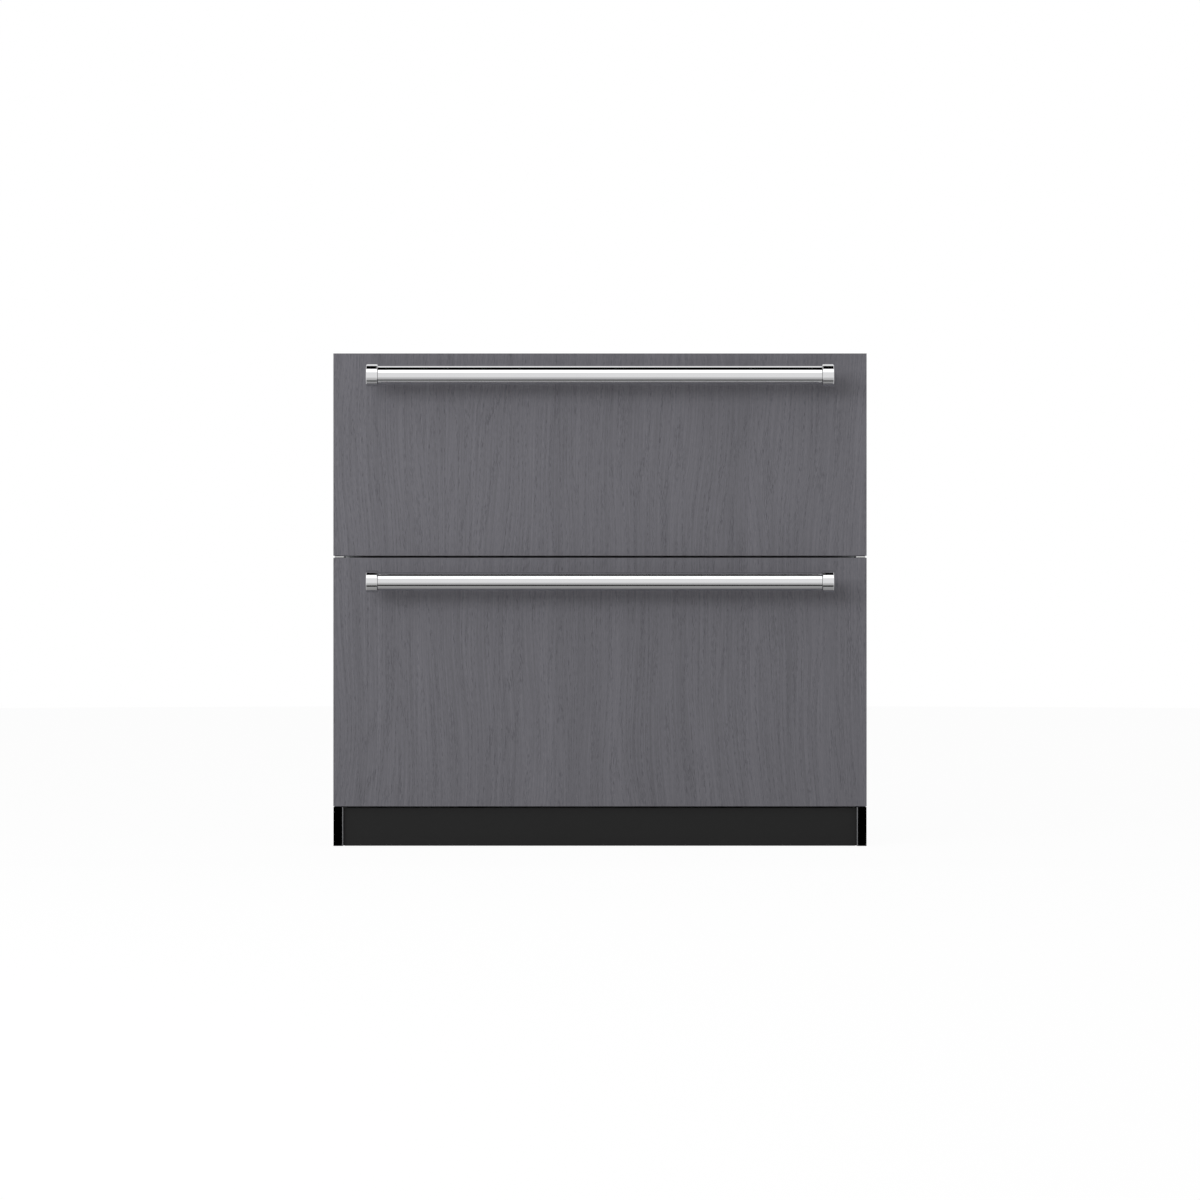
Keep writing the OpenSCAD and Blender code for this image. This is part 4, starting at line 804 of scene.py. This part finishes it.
class FRIDGE_OT_feet(bpy.types.Operator):
    """Replace the plain feet by turned ones with cut threads"""
    bl_idname = "fridge.feet"
    bl_label = "Levelling feet"

    def execute(self, context):
        colours, sizes, _ = settings()
        steel = rolled_steel("foot steel", colours.foot, along=2)
        for foot in FEET:
            node = "foot_" + foot
            low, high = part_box(node)
            bm = bmesh.new()
            self.build(bm, low, high, sizes)
            made = piece(foot + "_threaded_foot", bm, foot + "_foot", steel)
            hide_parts(node)
        return {"FINISHED"}

    def build(self, bm, low, high, sizes):
        """A domed pad, a chamfered hexagonal nut and the threaded stem."""
        pad = (high.x - low.x) / 2
        centre = Vector(((low.x + high.x) / 2, (low.y + high.y) / 2, low.z))
        pad_h, nut_h, nut_r, stem_r = 12 * MM, 11 * MM, 19 * MM / math.sqrt(3), 6 * MM
        rim, chamfer = 1.2 * MM, 0.8 * MM
        lathe(bm, [(0, 0), (pad - rim, 0), (pad - rim * 0.3, rim * 0.3), (pad, rim),
                   (pad, pad_h / 2 - rim), (pad - rim * 0.4, pad_h / 2),
                   (nut_r * 1.15, pad_h * 0.86), (nut_r, pad_h), (0, pad_h)], centre, UP, 48)
        lathe(bm, [(0, pad_h), (nut_r - chamfer, pad_h), (nut_r, pad_h + chamfer),
                   (nut_r, pad_h + nut_h - chamfer), (nut_r - chamfer, pad_h + nut_h),
                   (0, pad_h + nut_h)], centre, UP, 6)
        self.thread(bm, centre + Vector((0, 0, pad_h + nut_h)), high.z, stem_r, sizes)

    def thread(self, bm, base, top, radius, sizes):
        """A stem whose radius falls and rises along a helix."""
        around, levels = 24, 6
        pitch = sizes.thread_pitch
        rows = int((top - base.z) / pitch * levels)
        rings = []
        for row in range(rows + 1):
            z = base.z + (top - base.z) * row / rows
            ring = []
            for k in range(around):
                a = 2 * math.pi * k / around
                phase = ((z - base.z) / pitch - k / around) % 1.0
                near_end = min(1.0, (top - z) / pitch)
                cut = sizes.thread_depth * (1 - near_end * (1 - abs(2 * phase - 1)))
                r = radius - min(cut, sizes.thread_depth)
                ring.append(bm.verts.new((base.x + r * math.cos(a), base.y + r * math.sin(a), z)))
            rings.append(ring)
        for one, two in zip(rings, rings[1:]):
            for k in range(around):
                j = (k + 1) % around
                bm.faces.new((one[k], one[j], two[j], two[k]))
        bm.faces.new(rings[0][::-1])
        bm.faces.new(rings[-1])


class FRIDGE_OT_studio(bpy.types.Operator):
    """Set up the floor, the lamps, the surroundings and the camera"""
    bl_idname = "fridge.studio"
    bl_label = "Studio"

    def execute(self, context):
        _, _, studio = settings()
        self.floor(studio.floor_radius, studio.floor_tone)
        self.surroundings(studio.sky)
        key = self.lamp("key lamp", studio.key, (3.6, 1.6), (-2.7, FRONT_Y - 4.4, 2.05))
        key.visible_glossy = False
        self.lamp("top lamp", studio.top, (4.0, 2.4), (0.0, FRONT_Y - 1.75, 3.0))
        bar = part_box("upper_handle_bar")[1]
        self.dark_card("card_over", (0.0, bar.y - 0.05, bar.z + 2.0), (2.4, 1.66))
        self.dark_card("card_before", (0.0, bar.y - 0.40, 0.02), (2.4, 0.20))
        self.camera(studio)
        context.scene.view_settings.view_transform = "Standard"
        return {"FINISHED"}

    def floor(self, radius, tone):
        """A pale floor. To the camera and through glass it is nearly white, with a faint shadow.
        Polished metal sees its glow dimmed near the refrigerator: painted shade in the reflection."""
        near, far, painted_shade_glow = 0.6, 2.4, 0.36
        white_share, seen_tone = 0.95, (0.95, 0.95, 0.95, 1.0)
        pale = Finish("studio floor", (tone,) * 3, 0.9)
        path = pale.node("ShaderNodeLightPath").outputs
        away = pale.node("ShaderNodeVectorMath", {0: pale.place}, operation="LENGTH")
        # painted shade: the floor's glow in reflections is dimmed close to the refrigerator
        reflected_glow_painted_shade = pale.span(away.outputs["Value"], near, far, painted_shade_glow, 1.0)
        direct = pale.math("MAXIMUM", path["Is Camera Ray"], path["Is Transmission Ray"])
        share = pale.math("MAXIMUM", pale.math("MULTIPLY", direct, white_share),
                          path["Is Glossy Ray"])
        pale.paint(pale.mix(direct, pale.tone, seen_tone))
        strength = pale.math("MAXIMUM", direct, reflected_glow_painted_shade)
        glow = pale.node("ShaderNodeEmission", {"Strength": strength})
        surface = self.blend(pale.tree, share, pale.shader, glow)
        pale.tree.links.new(surface, pale.tree.nodes["Material Output"].inputs["Surface"])
        bm = bmesh.new()
        bmesh.ops.create_circle(bm, cap_ends=True, segments=96, radius=radius)
        self.stage_piece("studio_floor", bm, pale.material)

    def surroundings(self, strength):
        """White for the camera, metal and glass, and an even light for the rest."""
        world = bpy.data.worlds.new("studio")
        bpy.context.scene.world = world
        world.use_nodes = True
        tree = world.node_tree
        light = tree.nodes["Background"]
        white = tree.nodes.new("ShaderNodeBackground")
        for background, amount in ((light, strength), (white, 1.0)):
            background.inputs["Strength"].default_value = amount
            background.inputs["Color"].default_value = WHITE
        path = tree.nodes.new("ShaderNodeLightPath")
        seen = path.outputs["Is Camera Ray"]
        for ray in ("Is Glossy Ray", "Is Transmission Ray"):
            either = tree.nodes.new("ShaderNodeMath")
            either.operation = "MAXIMUM"
            tree.links.new(seen, either.inputs[0])
            tree.links.new(path.outputs[ray], either.inputs[1])
            seen = either.outputs[0]
        surface = self.blend(tree, seen, light, white)
        tree.links.new(surface, tree.nodes["World Output"].inputs["Surface"])

    def blend(self, tree, factor, first, second):
        """Mixes two shaders by a factor."""
        made = tree.nodes.new("ShaderNodeMixShader")
        for socket, result in zip(made.inputs, (factor, first.outputs[0], second.outputs[0])):
            tree.links.new(result, socket)
        return made.outputs[0]

    def stage_piece(self, name, bm, material):
        mesh = bpy.data.meshes.new(name)
        bm.to_mesh(mesh)
        bm.free()
        mesh.materials.append(material)
        obj = bpy.data.objects.new(name, mesh)
        bpy.context.scene.collection.objects.link(obj)
        return obj

    def lamp(self, name, power, size, place):
        """A soft rectangular lamp that looks at the refrigerator's middle."""
        data = bpy.data.lights.new(name, "AREA")
        data.shape = "RECTANGLE"
        data.size, data.size_y = size
        data.energy = power
        lamp = bpy.data.objects.new(name, data)
        lamp.location = place
        middle = Vector((0.0, (CAD_LOW.y + CAD_HIGH.y) / 2, CAD_HIGH.z / 2))
        lamp.rotation_euler = (middle - Vector(place)).to_track_quat("-Z", "Y").to_euler()
        bpy.context.scene.collection.objects.link(lamp)
        return lamp

    def dark_card(self, name, place, size):
        """A long dark card that shows only as a line in polished metal."""
        black = bpy.data.materials.new(name)
        black.use_nodes = True
        shader = black.node_tree.nodes["Principled BSDF"]
        shader.inputs["Base Color"].default_value = (0.0, 0.0, 0.0, 1.0)
        shader.inputs["Specular IOR Level"].default_value = 0.0
        x, y = size[0] / 2, size[1] / 2
        bm = bmesh.new()
        bm.faces.new([bm.verts.new(corner) for corner in
                      ((-x, -y, 0.0), (x, -y, 0.0), (x, y, 0.0), (-x, y, 0.0))])
        card = self.stage_piece(name, bm, black)
        card.location = place
        card.visible_camera = card.visible_diffuse = card.visible_shadow = False
        card.visible_transmission = card.visible_volume_scatter = False

    def camera(self, studio):
        """Straight in front, level, at the photograph's distance and height."""
        data = bpy.data.cameras.new("camera")
        data.lens = studio.lens
        data.sensor_width = 36.0
        data.clip_end = 100.0
        camera = bpy.data.objects.new("camera", data)
        camera.location = (0.0, FRONT_Y - studio.distance, studio.eye)
        camera.rotation_euler = (math.radians(90), 0.0, 0.0)
        bpy.context.scene.collection.objects.link(camera)
        bpy.context.scene.camera = camera


class FRIDGE_PT_refrigerator(bpy.types.Panel):
    """The refrigerator's sizes, colours and steps."""
    bl_idname = "FRIDGE_PT_refrigerator"
    bl_label = "Undercounter refrigerator"
    bl_space_type = "VIEW_3D"
    bl_region_type = "UI"
    bl_category = "Refrigerator"

    def draw(self, context):
        for group in (context.scene.fridge_sizes, context.scene.fridge_colours,
                      context.scene.fridge_studio):
            box = self.layout.box()
            for name in group.bl_rna.properties.keys():
                if name not in ("rna_type", "name"):
                    box.prop(group, name)
        for operator in STEPS:
            self.layout.operator(operator.bl_idname)


STEPS = (FRIDGE_OT_oak_fronts, FRIDGE_OT_handles, FRIDGE_OT_doors, FRIDGE_OT_cabinet,
         FRIDGE_OT_liners, FRIDGE_OT_tubs, FRIDGE_OT_slides, FRIDGE_OT_cooling,
         FRIDGE_OT_plinth, FRIDGE_OT_feet, FRIDGE_OT_studio)
CLASSES = (FridgeColours, FridgeSizes, FridgeStudio, *STEPS, FRIDGE_PT_refrigerator)
GROUPS = {"fridge_colours": FridgeColours, "fridge_sizes": FridgeSizes,
          "fridge_studio": FridgeStudio}


def register():
    for made in CLASSES:
        bpy.utils.register_class(made)
    for name, group in GROUPS.items():
        setattr(bpy.types.Scene, name, PointerProperty(type=group))


def unregister():
    for name in GROUPS:
        delattr(bpy.types.Scene, name)
    for made in reversed(CLASSES):
        bpy.utils.unregister_class(made)


def main():
    register()
    for step in (bpy.ops.fridge.oak_fronts, bpy.ops.fridge.handles, bpy.ops.fridge.doors,
                 bpy.ops.fridge.cabinet, bpy.ops.fridge.liners, bpy.ops.fridge.tubs,
                 bpy.ops.fridge.slides, bpy.ops.fridge.cooling, bpy.ops.fridge.plinth,
                 bpy.ops.fridge.feet, bpy.ops.fridge.studio):
        if step() != {"FINISHED"}:
            raise RuntimeError(f"{step} did not finish")


if __name__ == "__main__":
    main()
